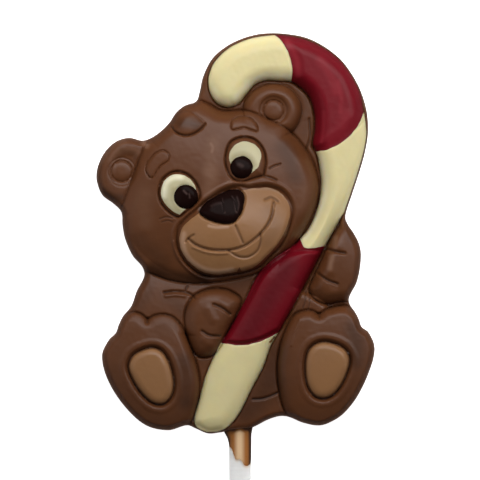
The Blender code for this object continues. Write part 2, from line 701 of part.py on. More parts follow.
def refined(loops, test, fineness):
    """Free points that make flat triangles follow the relief, the worst places first."""
    spacing, tolerance, most = fineness
    points, edges = joined(loops)
    low = points.min(axis=0)
    high = points.max(axis=0)
    candidates = np.concatenate([feature_points(), hex_grid(low, high, spacing)])
    candidates = spread(candidates[test(candidates)], points, LEAST_SPACING)
    if not len(candidates):
        return np.zeros((0, 2))
    wanted = relief_height(candidates)
    chosen = np.zeros(len(candidates), bool)
    for _ in range(MOST_ROUNDS):
        everything = np.concatenate([points, candidates[chosen]])
        places, triangles, _ = triangulated(everything, edges)
        heights = relief_height(places)
        corners = [Vector((x, y, z)) for (x, y), z in zip(places, heights)]
        tree = BVHTree.FromPolygons(corners, [tuple(t) for t in triangles.tolist()])
        worst = {}
        for index in np.flatnonzero(~chosen):
            start = Vector((candidates[index][0], candidates[index][1], RAY_START))
            hit, _, face, _ = tree.ray_cast(start, Vector((0, 0, -1)))
            if hit is None:
                continue
            error = abs(hit.z - wanted[index])
            if error > max(tolerance, worst.get(face, (0, 0))[0]):
                worst[face] = (error, index)
        ranked = sorted(worst.values(), reverse=True)
        room = most - int(chosen.sum())
        if not ranked or room <= 0:
            break
        share = max(LEAST_SHARE, len(ranked) // 2)
        for _, index in ranked[: min(room, share)]:
            chosen[index] = True
    return candidates[chosen]


def material(name):
    """The named material, made on its first use."""
    if name in bpy.data.materials:
        return bpy.data.materials[name]
    colour, roughness = MATERIALS[name]
    made = bpy.data.materials.new(name)
    made.use_nodes = True
    shader = made.node_tree.nodes["Principled BSDF"]
    shader.inputs["Base Color"].default_value = (*colour, 1.0)
    shader.inputs["Roughness"].default_value = roughness
    shader.inputs["Metallic"].default_value = 0.0
    made.diffuse_color = (*colour, 1.0)
    return made


def add_mesh(name, points, faces, finish):
    """A mesh object from points in mm: the moulded relief has no primitive to start from."""
    mesh = bpy.data.meshes.new(name)
    mesh.from_pydata((np.asarray(points) * MM).tolist(), [], faces)
    mesh.validate()
    mesh.materials.append(material(finish))
    mesh.shade_smooth()
    mesh.set_sharp_from_angle(angle=math.radians(SHARP_ANGLE))
    part = bpy.data.objects.new(name, mesh)
    bpy.data.collections["lollipop"].objects.link(part)
    return part


def flat_fill(loop):
    """Triangles over the plan loop that use only its own points."""
    places, triangles, where = triangulated(loop, loop_edges(0, len(loop)))
    back = {int(out): index for index, out in enumerate(where)}
    kept = triangles[inside(loop, places[triangles].mean(axis=1))]
    return [tuple(back[int(corner)] for corner in triangle) for triangle in kept]


def ordered(loop):
    """The loop turned anticlockwise."""
    area = (loop[:, 0] * np.roll(loop[:, 1], -1) - np.roll(loop[:, 0], -1) * loop[:, 1]).sum()
    return loop if area > 0 else loop[::-1]


def inlay(name, loop, floor, finish, fineness):
    """One coloured piece: the relief on top, upright sides and a flat underside."""
    loop = ordered(loop)
    shrunk = offset(loop, OUTLINE_MARGIN)
    free = refined([loop], lambda points: inside(shrunk, points), fineness)
    points = np.concatenate([loop, free])
    places, triangles, where = triangulated(points, loop_edges(0, len(loop)))
    kept = triangles[inside(loop, places[triangles].mean(axis=1))]
    heights = relief_height(places)
    under = floor(loop) + FLOOR_GAP
    top = np.column_stack([places, np.maximum(heights, under.max() + LEAST_SKIN)])
    bottom = np.column_stack([loop, under])
    count = len(places)
    faces = [tuple(map(int, triangle)) for triangle in kept]
    for i in range(len(loop)):
        j = (i + 1) % len(loop)
        faces.append((int(where[i]), count + i, count + j, int(where[j])))
    faces += [tuple(count + corner for corner in triangle[::-1]) for triangle in flat_fill(loop)]
    return add_mesh(name, np.concatenate([top, bottom]), faces, finish)


def level(height):
    """A flat pocket floor."""
    return lambda points: np.full(len(points), float(height))


def cane_floor(points):
    """The cane's pocket is deep at the hook and stays above the stick's socket lower down."""
    down = (HOOK_FLOOR_END_Y - points[:, 1]) / CANE_FLOOR_RAMP
    return HOOK_FLOOR + (FOOT_FLOOR - HOOK_FLOOR) * eased(down)


def body(pockets):
    """The milk chocolate: drafted side wall, moulded face, pockets for the other colours."""
    outer = ordered(resampled(smooth(SILHOUETTE), SIDE_SPACING))
    rim = offset(outer, WALL_DRAFT)
    holes = [ordered(loop) for loop, _ in pockets]
    shrunk = offset(rim, OUTLINE_MARGIN)
    grown = [offset(loop, -POCKET_MARGIN) for loop in holes]

    def milk(points):
        found = inside(shrunk, points)
        for loop in grown:
            found &= ~inside(loop, points)
        return found

    free = refined([rim] + holes, milk, BODY_FINENESS)
    base, edges = joined([rim] + holes)
    places, triangles, where = triangulated(np.concatenate([base, free]), edges)
    centres = places[triangles].mean(axis=1)
    label = np.where(inside(rim, centres), 0, -1)
    for number, loop in enumerate(holes, 1):
        label[inside(loop, centres)] = number
    levels = [relief_height(places)] + [floor(places) for _, floor in pockets]
    points = []
    index_of = {}

    def corner(vertex, region):
        key = (int(vertex), int(region))
        if key not in index_of:
            index_of[key] = len(points)
            points.append((places[vertex][0], places[vertex][1], levels[region][vertex]))
        return index_of[key]

    faces = []
    region_of_edge = {}
    for triangle, region in zip(triangles, label):
        if region < 0:
            continue
        faces.append(tuple(corner(vertex, region) for vertex in triangle))
        for a, b in zip(triangle, np.roll(triangle, -1)):
            region_of_edge[(int(a), int(b))] = int(region)
    for (a, b), region in region_of_edge.items():
        other = region_of_edge.get((b, a))
        if region == 0 and other:
            faces.append((corner(b, 0), corner(a, 0), corner(a, other), corner(b, other)))
    ring = len(points)
    points += [(x, y, 0.0) for x, y in outer]
    for i in range(len(outer)):
        j = (i + 1) % len(outer)
        faces.append((ring + i, ring + j, corner(where[j], 0), corner(where[i], 0)))
    faces += [tuple(ring + vertex for vertex in triangle[::-1]) for triangle in flat_fill(outer)]
    return add_mesh("body", points, faces, "milk_chocolate")


def cylinder(name, radius, top_y, length, collection):
    """A round bar along Y on the stick's axis, from top_y down to its far end."""
    bpy.ops.mesh.primitive_cylinder_add(
        vertices=STICK_SIDES,
        radius=radius * MM,
        depth=length * MM,
        location=(0, (top_y - length / 2) * MM, STICK_AXIS_Z * MM),
        rotation=(math.radians(90), 0, 0),
    )
    bar = bpy.context.object
    bar.name = name
    for holder in list(bar.users_collection):
        holder.objects.unlink(bar)
    bpy.data.collections[collection].objects.link(bar)
    return bar


def stick():
    """The paper stick, with its end edges eased."""
    bar = cylinder("stick", STICK_RADIUS, STICK_TOP_Y, STICK_LENGTH, "lollipop")
    bar.data.materials.append(material("stick_paper"))
    bar.data.shade_smooth()
    bar.data.set_sharp_from_angle(angle=math.radians(SHARP_ANGLE))
    ease = bar.modifiers.new("eased ends", "BEVEL")
    ease.width = STICK_CHAMFER * MM
    ease.segments = 1
    ease.limit_method = "ANGLE"
    ease.angle_limit = math.radians(SHARP_ANGLE)


def cut_socket(part):
    """The hole that the stick is set in, open at the lower edge."""
    cutter = cylinder("socket_cutter", SOCKET_RADIUS, SOCKET_TOP_Y, SOCKET_LENGTH, "cutters")
    cutter.hide_render = True
    cutter.display_type = "WIRE"
    cut = part.modifiers.new("socket", "BOOLEAN")
    cut.operation = "DIFFERENCE"
    cut.solver = "EXACT"
    cut.object = cutter


def cane_piece(band, inner):
    """The part of the cane's plan inside one colour band, with its clearances."""
    bar = offset(resampled(smooth(CANE), CANE_SPACING), GAP)
    cut = offset(resampled(smooth(band), CANE_SPACING), GAP)
    return region_loop([bar, cut, inner],
                       lambda p: inside(bar, p) & inside(cut, p) & inside(inner, p))


def cane_pieces(outer):
    """The five lengths of the cane, in white and red."""
    inner = offset(outer, WALL_DRAFT + RIM_WALL + GAP)
    bands = (
        ("cane_white_tip", BAND_TIP, "white_chocolate"),
        ("cane_red_hook", BAND_HOOK, "red_chocolate"),
        ("cane_white_middle", BAND_WHITE, "white_chocolate"),
        ("cane_red_middle", BAND_MIDDLE, "red_chocolate"),
        ("cane_white_foot", BAND_FOOT, "white_chocolate"),
    )
    for name, band, finish in bands:
        inlay(name, cane_piece(band, inner), cane_floor, finish, CANE_FINENESS)


def eye_pieces(side, pupil, pocket):
    """One eye: the pupil, and the white around it."""
    hole = offset(pupil, -GAP)
    limit = offset(ordered(pocket), GAP)
    disc = region_loop([pupil, limit], lambda p: inside(pupil, p) & inside(limit, p))
    ring = region_loop([limit, hole], lambda p: inside(limit, p) & ~inside(hole, p))
    inlay("eye_white_" + side, ring, level(EYE_FLOOR), "white_chocolate", EYE_WHITE_FINENESS)
    inlay("pupil_" + side, disc, level(EYE_FLOOR), "dark_chocolate", PUPIL_FINENESS)


def snout_pieces(snout, nose):
    """The caramel muzzle and the dark nose let into it."""
    limit = offset(snout, GAP)
    hole = offset(nose, -GAP)
    face = region_loop([limit, hole], lambda p: inside(limit, p) & ~inside(hole, p))
    inlay("muzzle", face, level(SNOUT_FLOOR), "caramel_chocolate", MUZZLE_FINENESS)
    inlay("nose", offset(nose, GAP), level(SNOUT_FLOOR), "dark_chocolate", NOSE_FINENESS)


def build():
    """Makes every solid of the lollipop."""
    for name in ("lollipop", "cutters"):
        bpy.context.scene.collection.children.link(bpy.data.collections.new(name))
    outer = ordered(resampled(smooth(SILHOUETTE), SIDE_SPACING))
    rim = offset(outer, WALL_DRAFT + RIM_WALL)
    bar = resampled(smooth(CANE), CANE_SPACING)
    cane_pocket = region_loop([bar, rim], lambda p: inside(bar, p) & inside(rim, p))
    snout = ordered(resampled(smooth(CARAMEL), SNOUT_SPACING))
    nose = ordered(resampled(smooth(NOSE), NOSE_SPACING))
    snout_pocket = region_loop([snout, nose], lambda p: inside(snout, p) | inside(nose, p))
    pupils = [ordered(circle(spec, PUPIL_SIDES)) for spec in (PUPIL_LEFT_CIRCLE, PUPIL_RIGHT_CIRCLE)]
    whites = [resampled(smooth(outline), EYE_WHITE_SPACING) for outline in (WHITE_LEFT, WHITE_RIGHT)]
    eyes = [offset(resampled(smooth(outline), EYE_SPACING), EYE_INSET) for outline in (EYE_LEFT, EYE_RIGHT)]
    eye_pockets = [
        region_loop([white, pupil, eye],
                    lambda p, w=white, d=pupil, e=eye: (inside(w, p) | inside(d, p)) & inside(e, p))
        for white, pupil, eye in zip(whites, pupils, eyes)
    ]
    pads = [ordered(resampled(smooth(outline), PAD_SPACING)) for outline in (PAD_LEFT, PAD_RIGHT)]
    pockets = [(cane_pocket, cane_floor), (snout_pocket, level(SNOUT_FLOOR))]
    pockets += [(pocket, level(EYE_FLOOR)) for pocket in eye_pockets]
    pockets += [(pad, level(PAD_FLOOR)) for pad in pads]

    cut_socket(body(pockets))
    cane_pieces(outer)
    for side, pupil, pocket in zip(("left", "right"), pupils, eye_pockets):
        eye_pieces(side, pupil, pocket)
    snout_pieces(snout, nose)
    for side, pad in zip(("left", "right"), pads):
        loop = offset(pad, GAP)
        inlay("foot_pad_" + side, loop, level(PAD_FLOOR), "caramel_chocolate", PAD_FINENESS)
    stick()


def clear_scene():
    """Removes what the startup scene holds."""
    for part in list(bpy.data.objects):
        bpy.data.objects.remove(part)


clear_scene()
build()
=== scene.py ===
"""Looks of the chocolate lollipop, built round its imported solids.

The moulded face is one height function over the plan, the same as in the part, drawn finer here.
All the chocolate pieces share one fine triangulation of the plan, so their colours meet flush.
Plan work is in mm. Outlines are in layout units of 0.2 mm, u to the right and v down.
"""

import json
import math

import bpy
import numpy as np
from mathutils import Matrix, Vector
from mathutils.geometry import delaunay_2d_cdt
from mathutils.kdtree import KDTree


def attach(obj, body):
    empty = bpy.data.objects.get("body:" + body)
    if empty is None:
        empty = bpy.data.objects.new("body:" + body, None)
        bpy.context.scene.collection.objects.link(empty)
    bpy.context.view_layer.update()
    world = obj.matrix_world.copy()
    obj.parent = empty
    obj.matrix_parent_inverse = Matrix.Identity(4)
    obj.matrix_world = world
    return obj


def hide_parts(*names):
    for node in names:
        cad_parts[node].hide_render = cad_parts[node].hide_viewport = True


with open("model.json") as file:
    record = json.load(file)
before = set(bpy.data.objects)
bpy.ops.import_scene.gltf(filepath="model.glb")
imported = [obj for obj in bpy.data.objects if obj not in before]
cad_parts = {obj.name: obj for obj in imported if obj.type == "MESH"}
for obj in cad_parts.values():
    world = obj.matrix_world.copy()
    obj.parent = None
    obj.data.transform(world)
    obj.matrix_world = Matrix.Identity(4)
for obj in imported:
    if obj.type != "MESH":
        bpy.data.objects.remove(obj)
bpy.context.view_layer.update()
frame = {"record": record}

# Metres in a mm, mm in a layout unit, and where the part's origin is in layout units
MM = 0.001
UNIT = 0.2
ORIGIN_U = 240.0
ORIGIN_V = 232.0

# Web, side wall and edge, mm
WEB = 5.0
WALL_TOP = 4.5
WALL_DRAFT = 0.3
RIM_WALL = 0.12
EDGE_ROUND = 1.0

# Tops of the forms, mm above the back
TORSO_TOP = 6.3
ARM_LEFT_TOP = 6.4
EAR_LEFT_TOP = 7.6
EAR_LEFT_CUP_TOP = 7.0
EAR_RIGHT_TOP = 7.6
EAR_RIGHT_CUP_TOP = 7.0
HEAD_TOP = 7.8
CANE_TOP = 8.1
MUZZLE_TOP = 9.1
ARM_RIGHT_TOP = 7.2
PAW_TOP = 7.9
SOLE_TOP = 7.9

# Domes over the larger forms: centre and radii in layout units, extra height in mm
HEAD_DOME = ((222, 190), (100, 88), 2.7)
MUZZLE_DOME = ((234, 232), (62, 50), 3.0)
ARM_LEFT_DOME = ((168, 322), (60, 44), 1.2)
ARM_RIGHT_DOME = ((338, 262), (26, 46), 1.0)
PAW_DOME = ((212, 322), (32, 38), 0.7)
SOLE_LEFT_DOME = ((152, 374), (52, 62), 1.0)
SOLE_RIGHT_DOME = ((326, 364), (54, 62), 1.0)
DOME_FALL = 0.15

# The side wall rises to cover the stick: by how much, how far from the axis, from where down, mm
BOSS_RISE = 1.1
BOSS_REACH = 5.0
BOSS_START_Y = -25.0
BOSS_BLEND = 4.0

# Pocket floors, mm above the back. The cane's rises from the hook to the foot.
HOOK_FLOOR = 4.0
HOOK_FLOOR_END_Y = 30.0
CANE_FLOOR_RAMP = 30.0
FOOT_FLOOR = 5.7
SNOUT_FLOOR = 6.6
EYE_FLOOR = 8.0
PAD_FLOOR = 6.3
LEAST_DEPTH = 0.25
INLAY_LIFT = 0.02
INLAY_DRAFT = 0.03

# Stick, mm
STICK_RADIUS = 2.22
STICK_AXIS_Z = 2.8
STICK_TOP_Y = 0.8
STICK_LENGTH = 125.0
STICK_END_RADIUS = 0.6
STICK_EASE = 0.15
STICK_SKIN_INSET = 0.008
STICK_SIDES = 72
STICK_ROWS = 420
SOCKET_GRIP = 0.02
SOCKET_CUT_LENGTH = 60.0
SOCKET_SIDES = 64

# The seam of the rolled paper: depth in mm, half width, place and twist for each mm in radians
SEAM_DEPTH = 0.03
SEAM_WIDTH = 0.12
SEAM_TURN = 2.6
SEAM_TWIST = 0.004

# Unevenness of each surface: amount in mm or as a share, size of the bumps in mm, seed.
# Round the film, a radian counts as this many mm.
FACE_WAVES = ((0.014, 3.2, 1), (0.007, 1.1, 2))
BACK_WAVES = ((0.35, 9.0, 8), (0.15, 3.0, 9))
STICK_WAVES = (0.006, 1.3, 21)
FILM_END_WAVES = (0.05, 0.8, 31)
FILM_END_AROUND = 3.0
FILM_WAVES = (0.25, 1.2, 33)
FILM_AROUND = 2.2
COLOUR_WAVES = (0.035, 1.6, 5)
CUT_RAGGED = 0.05

# Spacing of the points over the faces, along the colours' edges and on the back, mm
FILL_SPACING = 0.18
LINE_SPACING = 0.25
LINE_MARGIN = 0.11
LIMIT_SPACING = 0.6
BACK_SPACING = 0.9

# Rings of points down the drafted wall and over its rounded top, mm in from the silhouette
WALL_RINGS = (0.1, 0.2, 0.3, 0.36)
RING_TOLERANCE = 0.02

# The poured back dips by up to this much, and by half of it on average, in from its edge, mm
BACK_HOLLOW = 0.12
BACK_MEAN = 0.5
BACK_EDGE = 3.0

# Edges sharper than this are shaded sharp, in degrees
SHARP_ANGLE = 55.0

# Where the lip beside a groove stands, in groove widths, and how far a mitre may stretch
LIP_PLACE = 1.6
MITRE_LIMIT = 0.6

# Painted shade along the grooves and sunk creases: a groove this deep, in mm, is painted at its
# darkest, a sunk crease is painted this dark, over this share of its width
GROOVE_SHADE_DEPTH = 0.75
CREASE_SHADE = 0.75
SHADE_LINE_SHARE = 0.6

# The milk chocolate is painted paler along its outer edge, a painted sheen like the reflection of the
# white floor, by this amount over this width in mm
EDGE_SHEEN = 1.0
EDGE_SHEEN_WIDTH = 0.55

# Outlines. A third number of 1 marks a corner.
SILHOUETTE = [
    (257, 33.8), (284, 33), (311.5, 39), (339, 57), (356.5, 81), (366, 106), (368.5, 130),
    (365.3, 152), (359, 174), (351.7, 196), (347, 210), (345.7, 218), (348.5, 225), (354, 233),
    (359.8, 245), (361.3, 258), (357.5, 281), (349.3, 298), (350.3, 305), (355, 311.5),
    (359, 319), (362, 327), (369, 332.5), (375, 348), (371, 368), (358.5, 395.5),
    (345.5, 412.5), (334, 421), (320, 426), (303, 423.2), (289, 417.5), (280, 416.6),
    (268, 420.2), (256, 426.4), (250, 428.8), (240, 429.8), (229, 431.4), (220, 433),
    (208, 434), (196, 429.2), (187, 425.8), (168, 430.8), (145, 425.5), (123, 405.3),
    (106.8, 379), (101.6, 355.5), (108.5, 340), (115.5, 333), (118, 326), (122.5, 316.5),
    (131, 306), (136.5, 291), (144, 276), (142, 267), (132.5, 256), (124.8, 239), (122.2, 225),
    (121, 212), (113, 203.5), (102, 195), (96.3, 180), (97.5, 166), (105, 151), (116, 141),
    (129, 137.5), (143.5, 140.2), (157, 133.7), (169, 122.5), (176, 112), (185, 105),
    (196, 101), (199.3, 92.5), (203, 76), (213, 57), (232, 42.5),
]

TORSO = [
    (150, 288), (190, 276), (250, 275), (300, 290), (330, 310), (335, 395), (310, 425),
    (284, 424), (268, 428), (254, 436), (230, 440), (195, 436), (160, 410), (140, 340),
]

ARM_LEFT = [
    (138, 262), (141, 276), (134, 291), (128, 307), (127, 322), (160, 327), (190, 335),
    (212, 332), (240, 318), (262, 300), (275, 275), (278, 250), (220, 243), (160, 245),
]

EAR_LEFT = [
    (95.5, 185), (94.5, 176), (96.5, 164), (104, 150), (115, 139.5), (129, 135.5), (144, 138.5),
    (158, 150), (156, 190), (140, 212), (122, 213), (107, 202), (99.5, 195),
]

EAR_LEFT_CUP = [
    (108.3, 172), (110.5, 159), (118.5, 149.8), (130, 148.4), (139, 152.5), (142, 170),
    (134, 185), (121, 188.6), (111.5, 184),
]

EAR_RIGHT = [
    (243, 107), (252, 92), (268, 84), (286, 86), (298, 97), (302, 111), (297, 126),
    (290, 133), (268, 140), (248, 125),
]

HEAD = [
    (124, 203), (119.5, 214), (120.5, 227), (123.5, 239.5), (131.5, 258), (141, 269),
    (152, 273.5), (170, 280), (190, 283), (215, 282), (240, 278), (262, 271), (285, 255),
    (303, 233), (316, 207), (319, 183), (313, 162), (303, 146), (290, 132), (268, 119.5),
    (245, 111), (222, 110.5), (208, 104), (197, 100), (186, 103), (176, 110), (168, 121),
    (156.5, 132.5), (147.5, 142), (140, 158), (131.5, 180),
]

TUFT = [
    (172, 125.5), (174.5, 118.5), (181, 112.8), (188, 111.8), (195, 115), (200.5, 120),
    (204.8, 124.3, 1), (200.6, 129.3), (193.5, 134.2), (186, 135.8), (179.5, 134.6), (174, 130.8),
]

BROW_LEFT = [
    (150, 177.5), (146, 170), (149, 161), (156, 153.5), (164, 151), (169, 155), (168, 161),
    (161, 166), (156.5, 172), (153.5, 177),
]

BROW_RIGHT = [
    (231, 127), (233, 120), (242, 116.5), (251, 119), (257, 126), (257, 131.5), (251, 130),
    (244, 128), (237, 129.5), (232.5, 130),
]

EYE_LEFT = [
    (159, 192), (163.5, 179), (175, 172), (187, 174.5), (196, 183.5), (200, 196), (195, 204.5),
    (186, 212), (178, 217), (168, 211), (161, 202),
]

EYE_RIGHT = [
    (225.5, 158), (230, 143.5), (241, 138), (254, 140), (263, 150), (265.5, 162),
    (263.5, 175.5, 1), (253, 178.5), (242, 181.5), (233, 179), (227, 169),
]

WHITE_LEFT = [
    (161, 193), (164, 182), (170, 176.3), (178, 174.5), (187, 177), (194, 184), (196, 190),
    (192, 201), (186, 209), (180, 215, 1), (171, 209.8), (164, 201.5),
]

WHITE_RIGHT = [
    (229.3, 160), (231, 150.5), (237, 144), (245, 141.8), (254, 144.5), (260.5, 152),
    (261, 160), (258, 168, 1), (246, 176), (236, 172),
]

MUZZLE = [
    (177, 238), (179, 228), (186, 219), (196, 210.5), (207, 201), (219, 192.5), (231, 187.3),
    (241, 186), (248, 187.5), (258, 186.3), (269, 185.8), (281, 190), (289, 199),
    (292.3, 212), (289, 228), (281, 245), (270, 256.5), (260, 266.5), (248, 271.5),
    (232, 274.5), (215, 276.5), (200, 273), (187, 263), (179, 250),
]

CARAMEL = [
    (179.5, 240), (182, 229), (189, 221), (197, 215), (210, 205), (230, 195), (248, 189.3),
    (258, 188.3), (269, 188), (279, 192), (287, 201), (290, 213), (286, 228), (278, 243),
    (267, 255.5), (257, 265), (248, 269.8), (241.5, 271, 1), (239.4, 266.8, 1), (236.8, 272, 1),
    (231, 273), (215, 274.5), (201, 271), (188.5, 261), (181.5, 250),
]

NOSE = [
    (199.3, 212.5), (205, 203.5), (217, 195.5), (230, 190), (239, 190), (244.5, 196),
    (243.5, 206), (239, 217), (232, 223.3), (220, 223.3), (207, 219),
]

CANE = [
    (272.5, 35.3), (290, 36), (312, 42.3), (332.7, 54), (349.8, 70.3), (359.5, 90.5),
    (363.5, 110), (365.5, 122), (366.3, 140), (362.8, 166), (355.3, 188), (346.3, 208),
    (336.5, 226), (327, 243), (320, 256), (308, 279), (294.5, 304), (280, 330), (271, 345),
    (263, 367), (251, 390), (240, 412), (231, 424), (221, 430.2), (208, 431.6), (198, 428),
    (194, 419), (198, 404), (201.5, 391), (205.5, 376), (213, 358), (221, 343), (231, 326),
    (245, 300), (257, 275), (264.5, 266.5), (272.5, 259.5), (283, 252), (293, 245.5),
    (300, 238.5), (308.5, 228.5), (317, 209), (321, 187), (319.5, 168), (316, 153),
    (312.5, 144), (314.5, 130), (314, 113), (309, 97.5), (300, 87.5), (290, 81.7), (279, 81),
    (266, 80.5), (254.5, 85), (246, 95), (238, 104), (227, 107.3), (216, 102.5), (209.3, 90),
    (208.8, 76), (215.5, 61), (230, 47.5), (250, 38.8),
]

RED_HOOK = [
    (273, 33, 1), (290, 33.5), (313, 40), (334.5, 51.5), (352.5, 68.5), (362.5, 90),
    (367.5, 108), (365, 120, 1), (344, 139.5), (328, 148.5), (316, 151), (311.5, 147, 1),
    (314.5, 130), (314, 112), (309, 97), (299, 87), (291, 81.5, 1), (292.5, 70), (288.5, 54),
    (281, 41),
]

RED_MIDDLE = [
    (301, 250.5), (312, 250), (321.5, 250.5, 1), (319, 257), (308, 279), (294.5, 304),
    (280, 330, 1), (262, 339), (243, 344), (222, 342, 1), (232.5, 326), (247.5, 300),
    (260, 277), (267.5, 267.5), (276, 259.5), (287, 253.5),
]

ARM_RIGHT = [
    (343.5, 215), (350.5, 220), (357.5, 230.5), (363.5, 246), (365, 259), (360.5, 283),
    (352, 300), (340, 301.5), (327, 304), (315, 299.5), (309, 290), (312, 280), (321, 260),
    (330, 240), (338, 227),
]

PAW_LEFT = [
    (184.5, 322), (186, 309), (193, 297), (204, 290.5), (217, 288.3), (230, 291), (241, 300),
    (236, 315), (228, 330), (221.5, 344), (212, 355.5), (198, 356), (189.5, 343),
]

SOLE_LEFT = [
    (112.5, 333.5), (116, 325), (122.5, 315.5), (132.5, 312), (141.5, 314.5), (147.5, 319),
    (154, 316), (164, 314.5), (174, 318), (183, 328.5), (190, 345), (196.3, 363), (200, 384),
    (197, 405), (190, 423), (168, 433.5), (144, 428), (121, 407.5), (104.5, 380),
    (99.5, 356), (104.5, 343.5),
]

SOLE_RIGHT = [
    (293.5, 315.5), (302, 311), (311.5, 310.5), (319, 314), (326, 309.5), (336.5, 306),
    (348, 306), (357.5, 312.5), (361.5, 320), (364.5, 326), (371, 331), (377, 346), (377, 356),
    (373.5, 370), (361, 397.5), (347, 416), (334.5, 425), (320, 430), (301, 426.5),
    (285.5, 412), (279, 390), (277, 368), (279, 350), (284, 333),
]

PAD_LEFT = [
    (128.5, 366), (133, 355.5), (143, 349.5), (154, 347.5), (163, 352), (170, 364),
    (174, 382), (172, 395), (164, 403.5), (153, 402.5), (141, 392), (132, 377.5),
]

PAD_RIGHT = [
    (305, 368), (307, 353), (313, 345), (323, 341.5), (336, 344), (346, 350.5), (349.5, 361),
    (344, 379), (335, 392.5), (325, 398), (315, 396), (307.5, 385.5),
]

# Circles: centre u, v and radius, in layout units
EAR_LEFT_RING = (122.1, 171.4, 13.2)
EAR_LEFT_DISC = (122, 171.3, 10.3)
EAR_RIGHT_CUP = (273.8, 110.8, 17.5)
EAR_RIGHT_RING = (273.4, 110.5, 12.8)
EAR_RIGHT_DISC = (273.4, 110.5, 9.9)
PUPIL_LEFT_CIRCLE = (186.2, 197, 12.0)
PUPIL_RIGHT_CIRCLE = (241.6, 167.7, 11.2)

# Creases: line, depth and half width in mm. A negative depth is a ridge.
CREASES = [
    ([(189, 239.5), (196, 245), (207, 249), (222, 250.5), (238, 248.5), (251, 242), (263, 231),
      (271, 218), (274, 203)], 0.50, 0.50),
    ([(186, 242), (189, 238), (194, 235)], 0.25, 0.40),
    ([(265, 200), (271, 197.8), (278, 202)], 0.30, 0.45),
    ([(235.5, 226), (239, 234), (243, 243)], 0.30, 0.45),
    ([(229, 251), (238, 256.5), (248, 257), (257, 251), (260.5, 242), (260, 234)], 0.25, 0.45),
    ([(193, 247), (204, 251.5), (216, 253.5), (228, 253)], -0.20, 0.45),
    ([(164, 292.5), (174, 291.3), (184, 292), (191, 294.5), (194.5, 298)], 0.35, 0.45),
    ([(166, 296), (176, 295), (185, 296)], -0.20, 0.50),
    ([(187.5, 286), (185.5, 290.5)], 0.25, 0.40),
    ([(214, 304.5), (222, 308), (230, 314)], 0.40, 0.50),
    ([(202, 331), (209.5, 335.2), (220, 336)], 0.40, 0.50),
    ([(337, 234), (337, 246)], -0.22, 1.50),
    ([(332, 257), (330, 271)], -0.25, 1.70),
    ([(322, 286), (332, 292)], -0.15, 1.50),
    ([(222, 303), (229, 307)], -0.18, 1.20),
    ([(208, 309), (213, 319)], -0.20, 1.50),
    ([(205, 340), (214, 347)], -0.15, 1.30),
    ([(327, 249), (336, 251.8), (344.5, 253.3)], 0.40, 0.50),
    ([(318, 273.5), (326, 279.5), (337, 284)], 0.40, 0.50),
    ([(253, 399), (262, 398.5), (270, 396), (278, 392.5)], 0.30, 0.45),
    ([(160, 219), (166, 217), (173, 218)], 0.10, 0.35),
    ([(162, 222), (168, 220.5), (173, 222)], 0.07, 0.30),
    ([(147.5, 319), (147.3, 322.5)], 0.40, 0.60),
    ([(319, 314), (319.3, 317)], 0.40, 0.60),
    ([(269.5, 169), (274, 166.5), (280, 164.5)], 0.25, 0.35),
    ([(264, 176.5), (270, 178), (276, 180.5)], 0.25, 0.40),
    ([(309, 119), (310, 137), (306, 149)], 0.30, 0.40),
    ([(171.5, 126.5), (176, 132.5), (185, 136), (194, 134), (201, 129.5), (205, 124.5)], 0.28, 0.40),
    ([(174, 242), (177, 254), (186, 267), (199, 276.5), (212, 280.5)], -0.20, 0.45),
]

# Colour cuts across the cane, and the far corners that close each length's polygon
CUT_TIP = [(266, 20), (273, 34, 1), (281, 41), (288.5, 54), (292.5, 70), (291, 81.5, 1), (286, 96)]
CUT_HOOK = [(295, 140), (309, 149, 1), (316, 151.5), (328, 149.5), (344, 141), (357, 127), (364, 112)]
CUT_MIDDLE = [(290, 232), (300, 239, 1), (304.5, 247.5), (312, 248), (323, 246.5), (335, 246)]
CUT_FOOT = [(205, 335), (222, 343, 1), (243, 345), (262, 340.5), (280, 331.5, 1), (290, 327)]
BAND_CORNERS = {
    "tip": [(240, 125), (185, 125), (185, 20)],
    "hook": [(380, 90), (380, 20)],
    "middle": [(385, 112), (385, 235)],
    "red": [(335, 310), (290, 327)],
}

# Finer marks of the mould: line, depth and half width in mm, as for the creases
FINE_CREASES = [
    ([(306, 293), (305, 301), (303, 308)], 0.15, 0.25),
    ([(310, 297), (309.5, 303), (308, 309)], 0.12, 0.25),
    ([(291, 345), (294, 332), (300, 319)], -0.12, 0.40),
    ([(231, 197), (235, 203), (237, 211)], 0.05, 0.25),
    ([(221, 199), (223, 205), (224, 212)], 0.05, 0.25),
]
